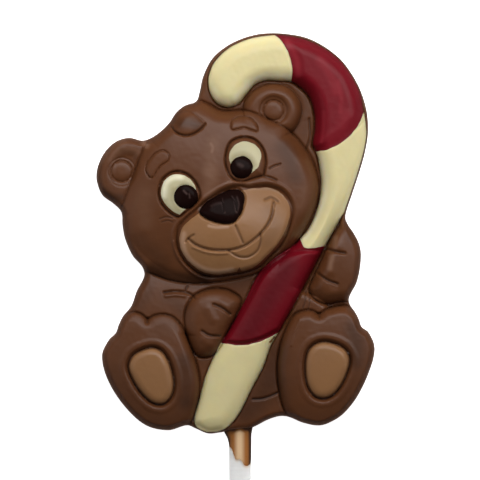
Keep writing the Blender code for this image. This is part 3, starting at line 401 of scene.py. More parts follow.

# Painted highlights (lighter, above 0) and painted shade (darker, below 0) on each node: line, amount
# and half width in mm
PAINTED_SHADING_STROKES = {
    "body": [
        ([(180, 124), (188, 123), (196, 125)], -0.5, 1.8),
        ([(105, 192), (113, 197), (121, 198)], -0.6, 1.6),
        ([(103, 160), (111, 149), (124, 142)], 0.25, 1.4),
        ([(305, 112), (306, 122), (304, 134)], -0.2, 1.2),
        ([(302, 165), (307, 185), (303, 205)], 0.2, 2.4),
        ([(209, 172), (212, 184), (208, 192)], 0.4, 2.4),
        ([(152, 269), (167, 275), (185, 279), (205, 279)], -0.7, 2.2),
        ([(112, 375), (128, 400), (150, 417), (172, 421), (188, 408)], -0.25, 4.0),
        ([(283, 385), (292, 405), (318, 416), (342, 405), (358, 385)], -0.2, 4.0),
        ([(246, 412), (262, 396), (276, 352)], -0.5, 4.4),
        ([(144, 143), (147, 146)], 0.8, 0.9),
        ([(335.5, 238), (335, 247)], 0.6, 0.9),
        ([(331.5, 257), (329.5, 268)], 0.9, 1.0),
        ([(168, 296), (178, 303), (186, 310)], -0.25, 2.4),
        ([(284, 148), (291, 160), (297, 176)], -0.4, 3.4),
        ([(352, 328), (356, 345), (355, 362)], -0.45, 2.8),
        ([(184, 360), (187, 380), (186, 400)], -0.45, 2.8),
        ([(228, 182), (240, 183), (250, 184)], 0.3, 1.0),
        ([(112, 160), (118, 153), (130, 150), (138, 153)], 0.4, 1.2),
        ([(118, 168), (124, 172)], 0.1, 1.5),
        ([(146, 195), (143, 208), (146, 222)], 0.2, 3.0),
        ([(140, 240), (150, 252), (163, 262)], -0.3, 3.0),
        ([(150, 282), (147, 293), (140, 304)], -0.25, 2.2),
        ([(346, 227), (352, 238)], -0.25, 1.8),
        ([(277, 300), (288, 308), (296, 312)], -0.2, 1.6),
        ([(214, 142), (212, 158), (213, 170)], 0.3, 2.6),
        ([(211, 144), (213, 148), (212, 152)], 0.5, 0.5),
    ],
    "eye_white_left": [
        ([(164, 196), (166, 184), (173, 178), (181, 177)], 0.7, 1.1),
        ([(174, 190), (173, 199), (178, 209)], -0.45, 0.9),
        ([(178, 188), (186, 183), (194, 188)], -0.3, 0.8),
    ],
    "eye_white_right": [
        ([(232, 158), (234, 150), (242, 144.5), (252, 145), (258, 151)], -0.1, 1.1),
        ([(231, 164), (234, 157), (242, 154), (250, 157), (255, 165)], -0.45, 0.9),
    ],
    "nose": [
        ([(232, 197), (235, 204), (236, 212)], 0.3, 0.3),
        ([(237, 197), (239, 205), (237, 213)], 0.25, 0.25),
        ([(222, 199), (223, 207), (225, 213)], 0.25, 0.3),
        ([(212, 206), (216, 204), (222, 203)], 0.15, 0.5),
    ],
    "pupil_left": [
        ([(184, 191), (187, 194)], 0.5, 0.35),
        ([(189.5, 194), (190, 198)], 0.35, 0.3),
    ],
    "pupil_right": [([(239, 165), (242, 166)], 0.3, 0.7)],
    "cane_white_foot": [([(199, 423), (208, 429), (221, 427)], -0.5, 0.9)],
    "cane_white_tip": [
        ([(235, 99), (243, 89), (254, 80.5), (266, 76.5), (279, 76.5), (290, 77.5)], 0.6, 1.1),
        ([(214, 90), (219, 99), (228, 102)], 0.4, 1.0),
    ],
    "cane_white_middle": [([(321, 158), (325, 185), (321, 207), (313, 225), (304, 238)], 0.5, 1.0)],
    "cane_red_hook": [
        ([(287, 42), (293, 52), (297, 62), (298, 74)], 0.5, 1.1),
        ([(346, 116), (341, 130), (330, 140)], 0.3, 2.2),
        ([(320, 61), (330, 75), (336, 92)], 0.35, 1.5),
        ([(338, 82), (341, 96), (340, 112)], 0.3, 0.8),
        ([(323, 112), (323, 128), (321, 142)], 0.3, 0.6),
    ],
    "cane_red_middle": [([(286, 268), (264, 308), (248, 334)], -0.45, 4.4)],
    "muzzle": [
        ([(209, 226), (218, 227.5), (228, 227)], 0.6, 0.5),
        ([(273, 205), (274.5, 209)], 0.5, 0.3),
        ([(184, 234), (183, 244), (188, 257), (200, 267), (216, 271.5), (232, 270)], 0.45, 0.9),
        ([(270, 213), (275, 228), (267, 242)], -0.25, 3.0),
    ],
}

# Other colours smeared or spilt on each node: line, amount and half width in mm
STAINS = {
    "cane_white_middle": [([(312, 151), (316, 155), (318, 160)], 0.8, 0.5)],
    "cane_white_foot": [([(274, 337), (270, 342)], 0.8, 0.4)],
    "eye_white_right": [([(262, 158), (259, 168), (254, 176)], 0.8, 0.5)],
}

# The chocolate film on the stick: its lower edge in layout units, then its measures in mm
FILM_EDGE = [
    (218, 440), (228, 445), (229.5, 446.2), (232, 449), (233.5, 454), (235.5, 459),
    (237.5, 459.8), (239.5, 458.8), (242.4, 461.8), (244, 465), (246, 466), (248.5, 465.4),
    (250.8, 462.6), (252, 458),
]
FILM_BACK_V = 444.0
FILM_TOP_Y = -37.5
FILM_THICKNESS = 0.035
FILM_LEAST = 0.004
FILM_MOST = 0.06
FILM_SINK = 0.08
FILM_END_ROUND = 0.25
FILM_SIDES = 144
FILM_ROWS = 28
FILM_ROW_POWER = 0.8

# Fillets beside the stick where it comes out: height in mm, turn in radians, lower end along Y
FILM_FILLETS = ((1.0, 1.5 * math.pi, -42.0), (0.3, 0.5 * math.pi, -41.0))
FILLET_WIDTH = 1.1
FILLET_FADE = 2.4

# Painted light and shade on the film: a painted highlight along the stick's top, painted shade down its
# sides, and a painted shadow next to the bear
FILM_HIGHLIGHT = 1.1
FILM_HIGHLIGHT_TURN = -0.05
FILM_HIGHLIGHT_WIDTH = 0.62
FILM_DARK_TURN = -0.1
FILM_DARK_START = 0.75
FILM_DARK_BLEND = 0.45
FILM_ROOT_SHADOW = 1.2
FILM_ROOT_Y = -40.2
FILM_ROOT_BLEND = 1.0

# The paper has soaked up colour along the end of the film: amount and half width in mm
SOAK_TONE = 0.5
SOAK_WIDTH = 0.7

# Chocolates: base, deep (for clouding and painted shade), pale (for painted highlights) and stain
# colour from 0 to 255, then roughness, glow and shine
CHOCOLATES = {
    "milk_chocolate": ((91, 53, 29), (44, 24, 12), (122, 88, 68), (150, 115, 88), 0.38, 0.02, 0.28),
    "white_chocolate": ((218, 207, 159), (158, 142, 96), (236, 228, 196), (120, 84, 50), 0.33, 0.6,
                        0.3),
    "eye_white": ((190, 183, 149), (140, 126, 92), (236, 230, 204), (120, 88, 60), 0.32, 0.3, 0.2),
    "red_chocolate": ((110, 9, 23), (56, 3, 10), (146, 40, 50), (58, 20, 14), 0.42, 0.04, 0.2),
    "dark_chocolate": ((24, 11, 9), (8, 3, 3), (96, 76, 72), (110, 78, 56), 0.25, 0.0, 0.035),
    "caramel_chocolate": ((140, 100, 65), (80, 50, 30), (186, 152, 128), (84, 50, 32), 0.34, 0.1,
                          0.32),
    "film_chocolate": ((168, 106, 52), (66, 38, 22), (232, 196, 154), (60, 34, 20), 0.3, 0.0, 0.2),
}
CLOUDINESS = 0.12

# Colours of the paper stick, from 0 to 255
PAPER_WHITE = (255, 252, 249)
PAPER_FIBRE = (248, 244, 241)
PAPER_CLOUD = (232, 228, 230)
PAPER_SOAKED = (214, 176, 128)

# Lamps: place and size in metres, power in watts, and whether the gloss shows them
LAMPS = {
    "key": ((0.035, 0.10, 0.19), (0.28, 0.10), 0.35, True),
    "rake": ((0.02, 0.20, 0.16), (0.25, 0.12), 0.32, False),
    "west": ((-0.16, 0.0, 0.12), (0.12, 0.20), 0.045, True),
    "east": ((0.18, 0.0, 0.12), (0.12, 0.20), 0.030, True),
}

# Sky, floor and camera. The sky is brighter overhead, between these heights of its direction.
SKY_LOW = 0.05
SKY_HIGH = 0.08
SKY_RISE = (0.5, 0.95)
WHITE = (1.0, 1.0, 1.0, 1.0)
FLOOR_GREY = 0.9
FLOOR_ROUGHNESS = 0.8
FLOOR_GLOW = 1.0
FLOOR_SIZE = 3.0
FLOOR_CLEARANCE = 0.00002
SENSOR = 36.0
CAMERA_HEIGHT = 1.5
FOCUS_HEIGHT = 0.004
VIEW_WIDTH = 0.096
VIEW_CENTRE_Y = -0.0016


def to_mm(points):
    """Layout units to mm in the part's frame."""
    points = np.asarray(points, float)
    return np.stack([(points[:, 0] - ORIGIN_U) * UNIT, (ORIGIN_V - points[:, 1]) * UNIT], axis=1)


def span(before, start, end, after, steps):
    """Points of one span of a smooth curve, without its end. None marks a corner."""
    chord = np.linalg.norm(end - start)
    leave = end - start
    arrive = end - start
    if before is not None:
        leave = (end - before) * chord / (chord + np.linalg.norm(start - before))
    if after is not None:
        arrive = (after - start) * chord / (chord + np.linalg.norm(after - end))
    t = np.linspace(0, 1, steps, endpoint=False)[:, None]
    cube = t**3
    square = t**2
    points = (2 * cube - 3 * square + 1) * start + (cube - 2 * square + t) * leave
    return points + (3 * square - 2 * cube) * end + (cube - square) * arrive


def smooth(points, closed=True, steps=8):
    """A smooth curve through the points, in mm."""
    places = to_mm([point[:2] for point in points])
    corner = [len(point) > 2 and point[2] == 1 for point in points]
    count = len(points)
    pieces = []
    for i in range(count if closed else count - 1):
        j = (i + 1) % count
        at_start = corner[i] or (not closed and i == 0)
        at_end = corner[j] or (not closed and j == count - 1)
        before = None if at_start else places[i - 1]
        after = None if at_end else places[(j + 1) % count]
        pieces.append(span(before, places[i], places[j], after, steps))
    if not closed:
        pieces.append(places[-1:])
    return np.concatenate(pieces)


def circle(spec, count=48):
    """A circle as a closed curve, in mm."""
    u, v, radius = spec
    turn = np.linspace(0, 2 * math.pi, count, endpoint=False)
    return to_mm(np.stack([u + radius * np.cos(turn), v + radius * np.sin(turn)], axis=1))


def spaced(line, spacing):
    """The open line with even spacing, ends kept."""
    length = np.concatenate([[0], np.cumsum(np.linalg.norm(np.diff(line, axis=0), axis=1))])
    even = np.linspace(0, length[-1], max(2, round(length[-1] / spacing) + 1))
    return np.stack([np.interp(even, length, line[:, axis]) for axis in (0, 1)], axis=1)


def resampled(curve, spacing, keep_angle=35.0):
    """The closed curve with even spacing, keeping its sharp corners."""
    back = curve - np.roll(curve, 1, axis=0)
    ahead = np.roll(curve, -1, axis=0) - curve
    turn = np.arctan2(back[:, 0] * ahead[:, 1] - back[:, 1] * ahead[:, 0], (back * ahead).sum(axis=1))
    corners = list(np.flatnonzero(np.abs(turn) > math.radians(keep_angle))) or [0]
    pieces = [spaced(curve[np.arange(first, last + 1) % len(curve)], spacing)[:-1]
              for first, last in zip(corners, corners[1:] + [corners[0] + len(curve)])]
    return np.concatenate(pieces)


def inside(loop, points):
    """Which points lie inside the closed loop."""
    found = np.zeros(len(points), bool)
    near = np.flatnonzero(((points > loop.min(axis=0)) & (points < loop.max(axis=0))).all(axis=1))
    x, y = points[near].T
    within = np.zeros(len(near), bool)
    for a, b in zip(loop, np.roll(loop, -1, axis=0)):
        if a[1] != b[1]:
            crossing = a[0] + (y - a[1]) * (b[0] - a[0]) / (b[1] - a[1])
            within ^= ((a[1] > y) != (b[1] > y)) & (x < crossing)
    found[near] = within
    return found


def distance(curve, points, closed):
    """Distance in mm from each point to the curve."""
    starts = curve if closed else curve[:-1]
    ends = np.roll(curve, -1, axis=0) if closed else curve[1:]
    best = np.full(len(points), np.inf)
    for a, b in zip(starts, ends):
        along = b - a
        t = np.clip(((points - a) @ along) / max(along @ along, 1e-12), 0, 1)
        best = np.minimum(best, ((points - a - t[:, None] * along) ** 2).sum(axis=1))
    return np.sqrt(best)


def depth_in(loop, points, reach=6.0):
    """Signed distance to the loop, positive inside, and at most reach outside."""
    result = np.full(len(points), -reach)
    low = loop.min(axis=0) - reach
    high = loop.max(axis=0) + reach
    near = np.flatnonzero(((points > low) & (points < high)).all(axis=1))
    if len(near):
        found = distance(loop, points[near], True)
        result[near] = np.where(inside(loop, points[near]), found, -found)
    return result


def offset(loop, amount):
    """The loop moved inwards by amount, or outwards if it is negative."""
    ahead = np.roll(loop, -1, axis=0) - loop
    back = loop - np.roll(loop, 1, axis=0)
    area = (loop[:, 0] * np.roll(loop[:, 1], -1) - np.roll(loop[:, 0], -1) * loop[:, 1]).sum()
    sign = 1.0 if area > 0 else -1.0
    normals = []
    for edge in (back, ahead):
        edge = edge / np.linalg.norm(edge, axis=1)[:, None]
        normals.append(np.stack([-edge[:, 1], edge[:, 0]], axis=1) * sign)
    middle = normals[0] + normals[1]
    middle /= np.linalg.norm(middle, axis=1)[:, None]
    stretch = 1 / np.clip((middle * normals[0]).sum(axis=1), MITRE_LIMIT, 1)
    return loop + middle * stretch[:, None] * amount


def rounded(t):
    """Quarter-round profile from 0 to 1."""
    t = np.clip(t, 0, 1)
    return np.sqrt(1 - (1 - t) ** 2)


def eased(t):
    """Soft profile from 0 to 1."""
    t = np.clip(t, 0, 1)
    return t * t * (3 - 2 * t)


def bell(t):
    """Soft bump: 1 at 0 and 0 from 1 outwards."""
    return 1 - eased(np.abs(t))


def waves(points, size, seed, count=14):
    """Seeded smooth unevenness, mostly between -1 and 1, with bumps of about this size in mm."""
    random = np.random.default_rng(seed)
    turns = random.uniform(0, 2 * math.pi, count)
    pitches = 2 * math.pi / (size * random.uniform(0.7, 1.7, count))
    shifts = random.uniform(0, 2 * math.pi, count)
    total = np.zeros(len(points))
    for turn, pitch, shift in zip(turns, pitches, shifts):
        along = points[:, 0] * math.cos(turn) + points[:, 1] * math.sin(turn)
        total += np.sin(along * pitch + shift)
    return total / math.sqrt(2 * count)


def with_waves(start, points, layers):
    """The start value with each layer of unevenness added: amount, size and seed."""
    for amount, size, seed in layers:
        start = start + amount * waves(points, size, seed)
    return start


def strokes(points, marks):
    """Sum of soft strokes, each a line in layout units, an amount and a half width in mm."""
    total = np.zeros(len(points))
    for line, amount, half_width in marks:
        line = smooth(line, closed=False)
        low = line.min(axis=0) - half_width
        high = line.max(axis=0) + half_width
        near = np.flatnonzero(((points > low) & (points < high)).all(axis=1))
        if len(near):
            total[near] += amount * bell(distance(line, points[near], False) / half_width)
    return total


class Relief:
    """The height of the moulded face over the plan, in mm, and the shade painted into its grooves and
    creases.
    """

    def __init__(self, points):
        self.points = points
        self.height = np.full(len(points), WEB)
        # Painted shade: how dark each point is painted where grooves and creases hold shade
        self.shade = np.zeros(len(points))

    def pad(self, loop, top=None, rise=0.0, shoulder=2.0, groove=0.0, width=0.6, lip=0.0,
            crown=None, profile=rounded):
        """A form inside the loop: up to an absolute top, or to a rise over what is there."""
        depth = depth_in(loop, self.points)
        near = depth > -3 * width
        depth = depth[near]
        under = self.height[near]
        goal = under + rise if top is None else np.full(len(under), top)
        if crown is not None:
            centre, radii, extra = crown
            away = (self.points[near] - to_mm([centre])[0]) / (np.array(radii) * UNIT)
            goal = goal + extra * np.clip(1 - (away**2).sum(axis=1), -DOME_FALL, 1)
        within = profile(depth / shoulder)
        form = (under - groove) * (1 - within) + goal * within
        around = under - groove * bell(depth / width) + lip * bell(depth / width + LIP_PLACE)
        self.height[near] = np.where(depth > 0, form, around)
        # Painted shade along the groove at the outline; shade painted earlier is cleared where the form
        # rises over it
        line = min(groove / GROOVE_SHADE_DEPTH, 1.0) * bell(depth / (SHADE_LINE_SHARE * width))
        self.shade[near] = np.maximum(self.shade[near] * (1 - within), line)

    def crease(self, marks):
        """Lines pressed into the face, with those that rise marked by a negative depth. The sunk ones
        also get painted shade along them.
        """
        self.height -= strokes(self.points, marks)
        crease_shade = [(line, CREASE_SHADE, SHADE_LINE_SHARE * half) for line, depth, half in marks if depth > 0]
        self.shade = np.maximum(self.shade, strokes(self.points, crease_shade))


def ears(relief):
    """Both ears: a rolled rim round a cup with a disc in it."""
    relief.pad(smooth(EAR_LEFT), top=EAR_LEFT_TOP, shoulder=2.4)
    relief.pad(smooth(EAR_LEFT_CUP), top=EAR_LEFT_CUP_TOP, shoulder=1.8, profile=eased)
    relief.pad(smooth(EAR_RIGHT), top=EAR_RIGHT_TOP, shoulder=2.2, groove=0.1)
    relief.pad(circle(EAR_RIGHT_CUP), top=EAR_RIGHT_CUP_TOP, shoulder=1.5, profile=eased)
    for ring, disc in ((EAR_LEFT_RING, EAR_LEFT_DISC), (EAR_RIGHT_RING, EAR_RIGHT_DISC)):
        relief.pad(circle(ring), shoulder=0.4, groove=0.14, width=0.4)
        relief.pad(circle(disc), rise=0.3, shoulder=1.5, groove=0.22, width=0.3)


def head(relief):
    """The head with its tuft, brows and eye sockets."""
    relief.pad(smooth(HEAD), top=HEAD_TOP, shoulder=3.0, groove=0.3, width=0.5, crown=HEAD_DOME)
    relief.pad(smooth(TUFT), rise=0.4, shoulder=2.4, groove=0.1, width=0.4)
    for brow in (BROW_LEFT, BROW_RIGHT):
        relief.pad(smooth(brow), rise=0.12, shoulder=0.6, groove=0.25, width=0.28)
    for eye in (EYE_LEFT, EYE_RIGHT):
        relief.pad(smooth(eye), rise=0.45, shoulder=2.2, groove=0.6, width=0.45)
    for pupil in (PUPIL_LEFT_CIRCLE, PUPIL_RIGHT_CIRCLE):
        relief.pad(circle(pupil), rise=0.45, shoulder=1.9, groove=0.15, width=0.3)


def cane(relief):
    """The candy cane: a rounded bar, with its red lengths a little proud."""
    relief.pad(smooth(CANE), top=CANE_TOP, shoulder=3.2, groove=0.35, width=0.45)
    for red, shoulder in ((RED_HOOK, 2.6), (RED_MIDDLE, 0.9)):
        relief.pad(smooth(red), rise=0.4, shoulder=shoulder, groove=0.2, width=0.5, profile=eased)


def muzzle(relief):
    """The snout with the nose on it."""
    relief.pad(smooth(MUZZLE), top=MUZZLE_TOP, shoulder=1.3, groove=0.4, width=0.5, lip=0.15,
               crown=MUZZLE_DOME)
    relief.pad(smooth(NOSE), rise=0.9, shoulder=1.8, groove=0.4, width=0.45)


def limbs(relief):
    """Arms, the paw and the two soles with their pads."""
    relief.pad(smooth(ARM_RIGHT), top=ARM_RIGHT_TOP, shoulder=2.4, groove=0.25, width=0.5,
               crown=ARM_RIGHT_DOME)
    relief.pad(smooth(PAW_LEFT), top=PAW_TOP, shoulder=2.8, groove=0.45, width=0.5, crown=PAW_DOME)
    soles = ((SOLE_LEFT, SOLE_LEFT_DOME, PAD_LEFT), (SOLE_RIGHT, SOLE_RIGHT_DOME, PAD_RIGHT))
    for sole, dome, pad in soles:
        relief.pad(smooth(sole), top=SOLE_TOP, shoulder=2.0, groove=0.4, width=0.5, crown=dome)
        relief.pad(smooth(pad), rise=0.4, shoulder=1.6, groove=0.8, width=0.8, lip=0.12)


def moulded_face(points, depth):
    """Height of the whole front over the plan, drafted wall included, and the shade painted into its
    grooves and creases.
    """
    relief = Relief(points)
    relief.pad(smooth(TORSO), top=TORSO_TOP, shoulder=1.5)
    relief.pad(smooth(ARM_LEFT), top=ARM_LEFT_TOP, shoulder=2.2, groove=0.1, crown=ARM_LEFT_DOME)
    ears(relief)
    head(relief)
    cane(relief)
    muzzle(relief)
    limbs(relief)
    relief.crease(CREASES)
    relief.crease(FINE_CREASES)
    height = with_waves(relief.height, points, FACE_WAVES)
    boss = bell(points[:, 0] / BOSS_REACH) * eased((BOSS_START_Y - points[:, 1]) / BOSS_BLEND)
    lowest = WALL_TOP + BOSS_RISE * boss
    top = lowest + (height - lowest) * rounded((depth - WALL_DRAFT) / EDGE_ROUND)
    return np.where(depth < WALL_DRAFT, lowest * depth / WALL_DRAFT, top), relief.shade


def outlines():
    """Every closed outline and colour cut of the plan, at the fine spacing."""
    found = {"silhouette": resampled(smooth(SILHOUETTE), LINE_SPACING)}
    for name, shape in (("cane", CANE), ("snout", CARAMEL), ("nose", NOSE), ("pad_left", PAD_LEFT),
                        ("pad_right", PAD_RIGHT), ("white_left", WHITE_LEFT),
                        ("white_right", WHITE_RIGHT), ("eye_left", EYE_LEFT), ("eye_right", EYE_RIGHT)):
        found[name] = ragged(resampled(smooth(shape), LINE_SPACING))
    found["pupil_left"] = ragged(resampled(circle(PUPIL_LEFT_CIRCLE), LINE_SPACING))
    found["pupil_right"] = ragged(resampled(circle(PUPIL_RIGHT_CIRCLE), LINE_SPACING))
    return found


def ragged(line, amount=COLOUR_WAVES[0]):
    """The line with the slight unevenness of a colour that was filled by hand."""
    size, seed = COLOUR_WAVES[1:]
    shift = np.stack([waves(line, size, seed), waves(line, size, seed + 1)], axis=1)
    return line + amount * shift


def cut_polygons():
    """The colour cuts across the cane, and the polygon of each length but the last."""
    tip, hook, middle, foot = [ragged(spaced(smooth(cut, closed=False), LINE_SPACING), CUT_RAGGED)
                               for cut in (CUT_TIP, CUT_HOOK, CUT_MIDDLE, CUT_FOOT)]
    corners = {name: to_mm(points) for name, points in BAND_CORNERS.items()}
    polygons = (
        ("cane_white_tip", np.concatenate([tip, corners["tip"]])),
        ("cane_red_hook", np.concatenate([tip, hook, corners["hook"]])),
        ("cane_white_middle", np.concatenate([hook, corners["middle"], middle[::-1]])),
        ("cane_red_middle", np.concatenate([middle, corners["red"], foot[::-1]])),
    )
    return (tip, hook, middle, foot), polygons


def hex_grid(low, high, spacing):
    """Points of an even triangular grid over a box."""
    rows = np.arange(low[1], high[1], spacing * math.sqrt(3) / 2)
    columns = np.arange(low[0], high[0], spacing)
    grid = [np.stack([columns + spacing / 2 * (i % 2), np.full(len(columns), row)], axis=1)
            for i, row in enumerate(rows)]
    return np.concatenate(grid)


def search_tree(points):
    """A tree that finds the nearest of the points of the plan."""
    tree = KDTree(len(points))
    for index, (x, y) in enumerate(points.tolist()):
        tree.insert((x, y, 0.0), index)
    tree.balance()
    return tree


def clear_of(points, lines, least):
    """The points that keep at least this far from the points of the lines."""
    tree = search_tree(np.concatenate(lines))
    keep = [tree.find((x, y, 0.0))[2] >= least for x, y in points.tolist()]
    return points[keep]


def triangulated(points, edges):
    """Constrained Delaunay triangles of the plan: points and triangles."""
    found = delaunay_2d_cdt([Vector(point) for point in points.tolist()], edges, [], 0, 1e-7, False)
    return np.array([tuple(vector) for vector in found[0]]), np.array(found[2])


def chained(lines, closed):
    """Several lines as one point list, with their edges."""
    edges = []
    start = 0
    for line, loop in zip(lines, closed):
        edges += [(start + i, start + i + 1) for i in range(len(line) - 1)]
        if loop:
            edges.append((start + len(line) - 1, start))
        start += len(line)
    return np.concatenate(lines), edges


def plan():
    """The shared triangulation of the plan, and the node that each triangle belongs to."""
    shapes = outlines()
    cuts, polygons = cut_polygons()
    silhouette = shapes["silhouette"]
    limit = offset(resampled(silhouette, LIMIT_SPACING), WALL_DRAFT + RIM_WALL)
    cuts = [cut[depth_in(shapes["cane"], cut) > -LINE_SPACING] for cut in cuts]
    lines = list(shapes.values()) + [resampled(limit, LINE_SPACING)] + cuts
    rings = [offset(resampled(silhouette, LINE_SPACING), inset) for inset in WALL_RINGS]
    closed = [True] * (len(shapes) + 1) + [False] * len(cuts)
    grid = hex_grid(silhouette.min(axis=0), silhouette.max(axis=0), FILL_SPACING)
    grid = grid[depth_in(silhouette, grid) > LINE_MARGIN]
    grid = clear_of(grid, lines + rings, LINE_MARGIN)
    extra = np.concatenate(rings)
    depth = depth_in(silhouette, extra)
    wanted = np.repeat(WALL_RINGS, [len(ring) for ring in rings])
    extra = clear_of(extra[np.abs(depth - wanted) < RING_TOLERANCE], lines, 0.5 * LINE_MARGIN)
    base, edges = chained(lines, closed)
    places, triangles = triangulated(np.concatenate([base, extra, grid]), edges)
    centres = places[triangles].mean(axis=1)
    slivers = (triangles < len(silhouette)).all(axis=1)
    keep = inside(silhouette, centres) & ~slivers
    triangles = triangles[keep]
    return places, triangles, labels(centres[keep], shapes, lines[len(shapes)], polygons)


def labels(centres, shapes, limit, polygons):
    """The name of the node that each place of the plan belongs to."""
    found = np.full(len(centres), "body", dtype="U20")
    bar = inside(shapes["cane"], centres) & inside(limit, centres)
    found[bar] = "cane_white_foot"
    for name, polygon in reversed(polygons):
        found[bar & inside(polygon, centres)] = name
    for side in ("left", "right"):
        socket = inside(shapes["eye_" + side], centres)
        found[socket & inside(shapes["white_" + side], centres)] = "eye_white_" + side
        found[socket & inside(shapes["pupil_" + side], centres)] = "pupil_" + side
        found[inside(shapes["pad_" + side], centres)] = "foot_pad_" + side
    found[inside(shapes["snout"], centres)] = "muzzle"
    found[inside(shapes["nose"], centres)] = "nose"
    return found


def border_loops(triangles, count):
    """The closed chains of vertices round a set of triangles, on their left."""
    ends = np.concatenate([triangles[:, [0, 1]], triangles[:, [1, 2]], triangles[:, [2, 0]]])
    single = ~np.isin(ends[:, 0] * count + ends[:, 1], ends[:, 1] * count + ends[:, 0])
    following = {}
    for a, b in ends[single].tolist():
        following.setdefault(a, []).append(b)
    chains = []
    while following:
        start = next(iter(following))
        chain = []
        here = start
        while here in following:
            chain.append(here)
            after = following[here].pop()
            if not following[here]:
                del following[here]
            here = after
        chains.append(chain)
    return chains


def fill(loops, grid=None):
    """Triangles between the loops, as indices into their joined points and any grid points."""
    base, edges = chained(loops, [True] * len(loops))
    points = base if grid is None else np.concatenate([base, grid])
    places, triangles = triangulated(points, edges)
    tree = search_tree(points)
    back = np.array([tree.find((x, y, 0.0))[1] for x, y in places.tolist()])
    centres = places[triangles].mean(axis=1)
    within = np.zeros(len(centres), bool)
    for loop in loops:
        within ^= inside(loop, centres)
    return back[triangles[within]]


def pocket_floor(node, points):
    """How high the floor of a colour's pocket is at each point."""
    if node.startswith("cane"):
        down = (HOOK_FLOOR_END_Y - points[:, 1]) / CANE_FLOOR_RAMP
        return HOOK_FLOOR + (FOOT_FLOOR - HOOK_FLOOR) * eased(down)
    if node.startswith("foot_pad"):
        return np.full(len(points), PAD_FLOOR)
    return np.full(len(points), SNOUT_FLOOR if node in ("muzzle", "nose") else EYE_FLOOR)


class Shell:
    """The points and faces of one solid as it is put together."""

    def __init__(self, places, heights, triangles):
        used, index = np.unique(triangles, return_inverse=True)
        self.used = used
        self.index_of = {int(old): new for new, old in enumerate(used)}
        self.points = [np.column_stack([places[used], heights[used]])]
        self.count = len(used)
        self.faces = index.reshape(-1, 3).tolist()

    def add_points(self, points, heights):
        """Adds points and gives the index of the first."""
        self.points.append(np.column_stack([points, heights]))
        self.count += len(points)
        return self.count - len(points)

    def wall(self, upper, first):
        """Joins a chain of the face to the chain of new points that starts at first."""
        for i, vertex in enumerate(upper):
            j = (i + 1) % len(upper)
            self.faces.append((self.index_of[vertex], first + i, first + j, self.index_of[upper[j]]))

    def close(self, triangles, corners, flipped=False):
        """Adds triangles between the points with these indices, flipped where they face down."""
        for triangle in triangles.tolist():
            face = [corners[corner] for corner in triangle]
            self.faces.append(tuple(face[::-1] if flipped else face))

    def coordinates(self):
        """All the points so far, in mm."""
        return np.concatenate(self.points)


def inlay(node, places, heights, triangles):
    """One coloured piece: its face, drafted sides and a flat underside."""
    shell = Shell(places, heights, triangles)
    loops = []
    start = shell.count
    for chain in border_loops(triangles, len(places)):
        loop = offset(places[chain], INLAY_DRAFT)
        low = np.minimum(pocket_floor(node, loop) + INLAY_LIFT, heights[chain] - LEAST_DEPTH)
        shell.wall(chain, shell.add_points(loop, low))
        loops.append(loop)
    shell.close(fill(loops), range(start, shell.count), flipped=True)
    return shell


def colours_at(triangles, label):
    """The coloured node at each vertex that one touches."""
    found = {}
    for triangle, node in zip(triangles.tolist(), label.tolist()):
        if node != "body":
            found.update(dict.fromkeys(triangle, node))
    return found


def body_shell(places, heights, triangles, label):
    """The milk chocolate: moulded face and drafted wall, pockets, and the poured back."""
    milk = triangles[label == "body"]
    shell = Shell(places, heights, milk)
    outer, *pockets = sorted(border_loops(milk, len(places)), key=len, reverse=True)
    colour_at = colours_at(triangles, label)
    for chain in pockets:
        loop = places[chain]
        floor = pocket_floor(colour_at[chain[0]], loop)
        first = shell.add_points(loop, np.minimum(floor, heights[chain] - LEAST_DEPTH))
        shell.wall(chain, first)
        shell.close(fill([loop]), range(first, shell.count))
    pour_back(shell, places[outer], [shell.index_of[vertex] for vertex in outer])
    return shell


def pour_back(shell, rim, rim_corners):
    """Closes the body with its poured back, which dips a little in from the rim."""
    grid = hex_grid(rim.min(axis=0), rim.max(axis=0), BACK_SPACING)
    depth = depth_in(rim, grid)
    inner = depth > 0.5 * BACK_SPACING
    grid = grid[inner]
    level = with_waves(BACK_MEAN, grid, BACK_WAVES)
    hollow = BACK_HOLLOW * level * eased(depth[inner] / BACK_EDGE)
    first = shell.add_points(grid, np.clip(hollow, 0, None))
    corners = [*rim_corners, *range(first, shell.count)]
    shell.close(fill([rim], grid), corners, flipped=True)


def add_piece(name, node, coordinates, faces, finish):
    """A smooth shaded object in metres, riding on the frame in place of the node."""
    mesh = bpy.data.meshes.new(name)
    mesh.from_pydata((coordinates * MM).tolist(), [], faces)
    mesh.validate()
    mesh.materials.append(finish)
    mesh.shade_smooth()
    mesh.set_sharp_from_angle(angle=math.radians(SHARP_ANGLE))
    piece = bpy.data.objects.new(name, mesh)
    bpy.context.scene.collection.objects.link(piece)
    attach(piece, "root")
    if node:
        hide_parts(node)
    return piece


def paint(piece, name, values):
    """Stores one number for each point of the piece, which its material reads."""
    layer = piece.data.attributes.new(name, "FLOAT", "POINT")
    layer.data.foreach_set("value", np.asarray(values, np.float32))


def linear(colour):
    """Display colour from 0 to 255 as linear RGBA."""
    parts = [value / 255 for value in colour]
    parts = [v / 12.92 if v <= 0.04045 else ((v + 0.055) / 1.055) ** 2.4 for v in parts]
    return (*parts, 1.0)


def add_node(tree, kind, inputs, output=0, **settings):
    """Adds a shader node with its values and links, and gives one of its outputs."""
    made = tree.nodes.new(kind)
    for key, value in settings.items():
        setattr(made, key, value)
    for key, value in inputs.items():
        if isinstance(value, bpy.types.NodeSocket):
            tree.links.new(value, made.inputs[key])
        else:
            made.inputs[key].default_value = value
    return made.outputs[output]


def mixed(tree, factor, first, second):
    """Mixes two colours."""
    return add_node(tree, "ShaderNodeMix", {0: factor, 6: first, 7: second}, 2, data_type="RGBA")


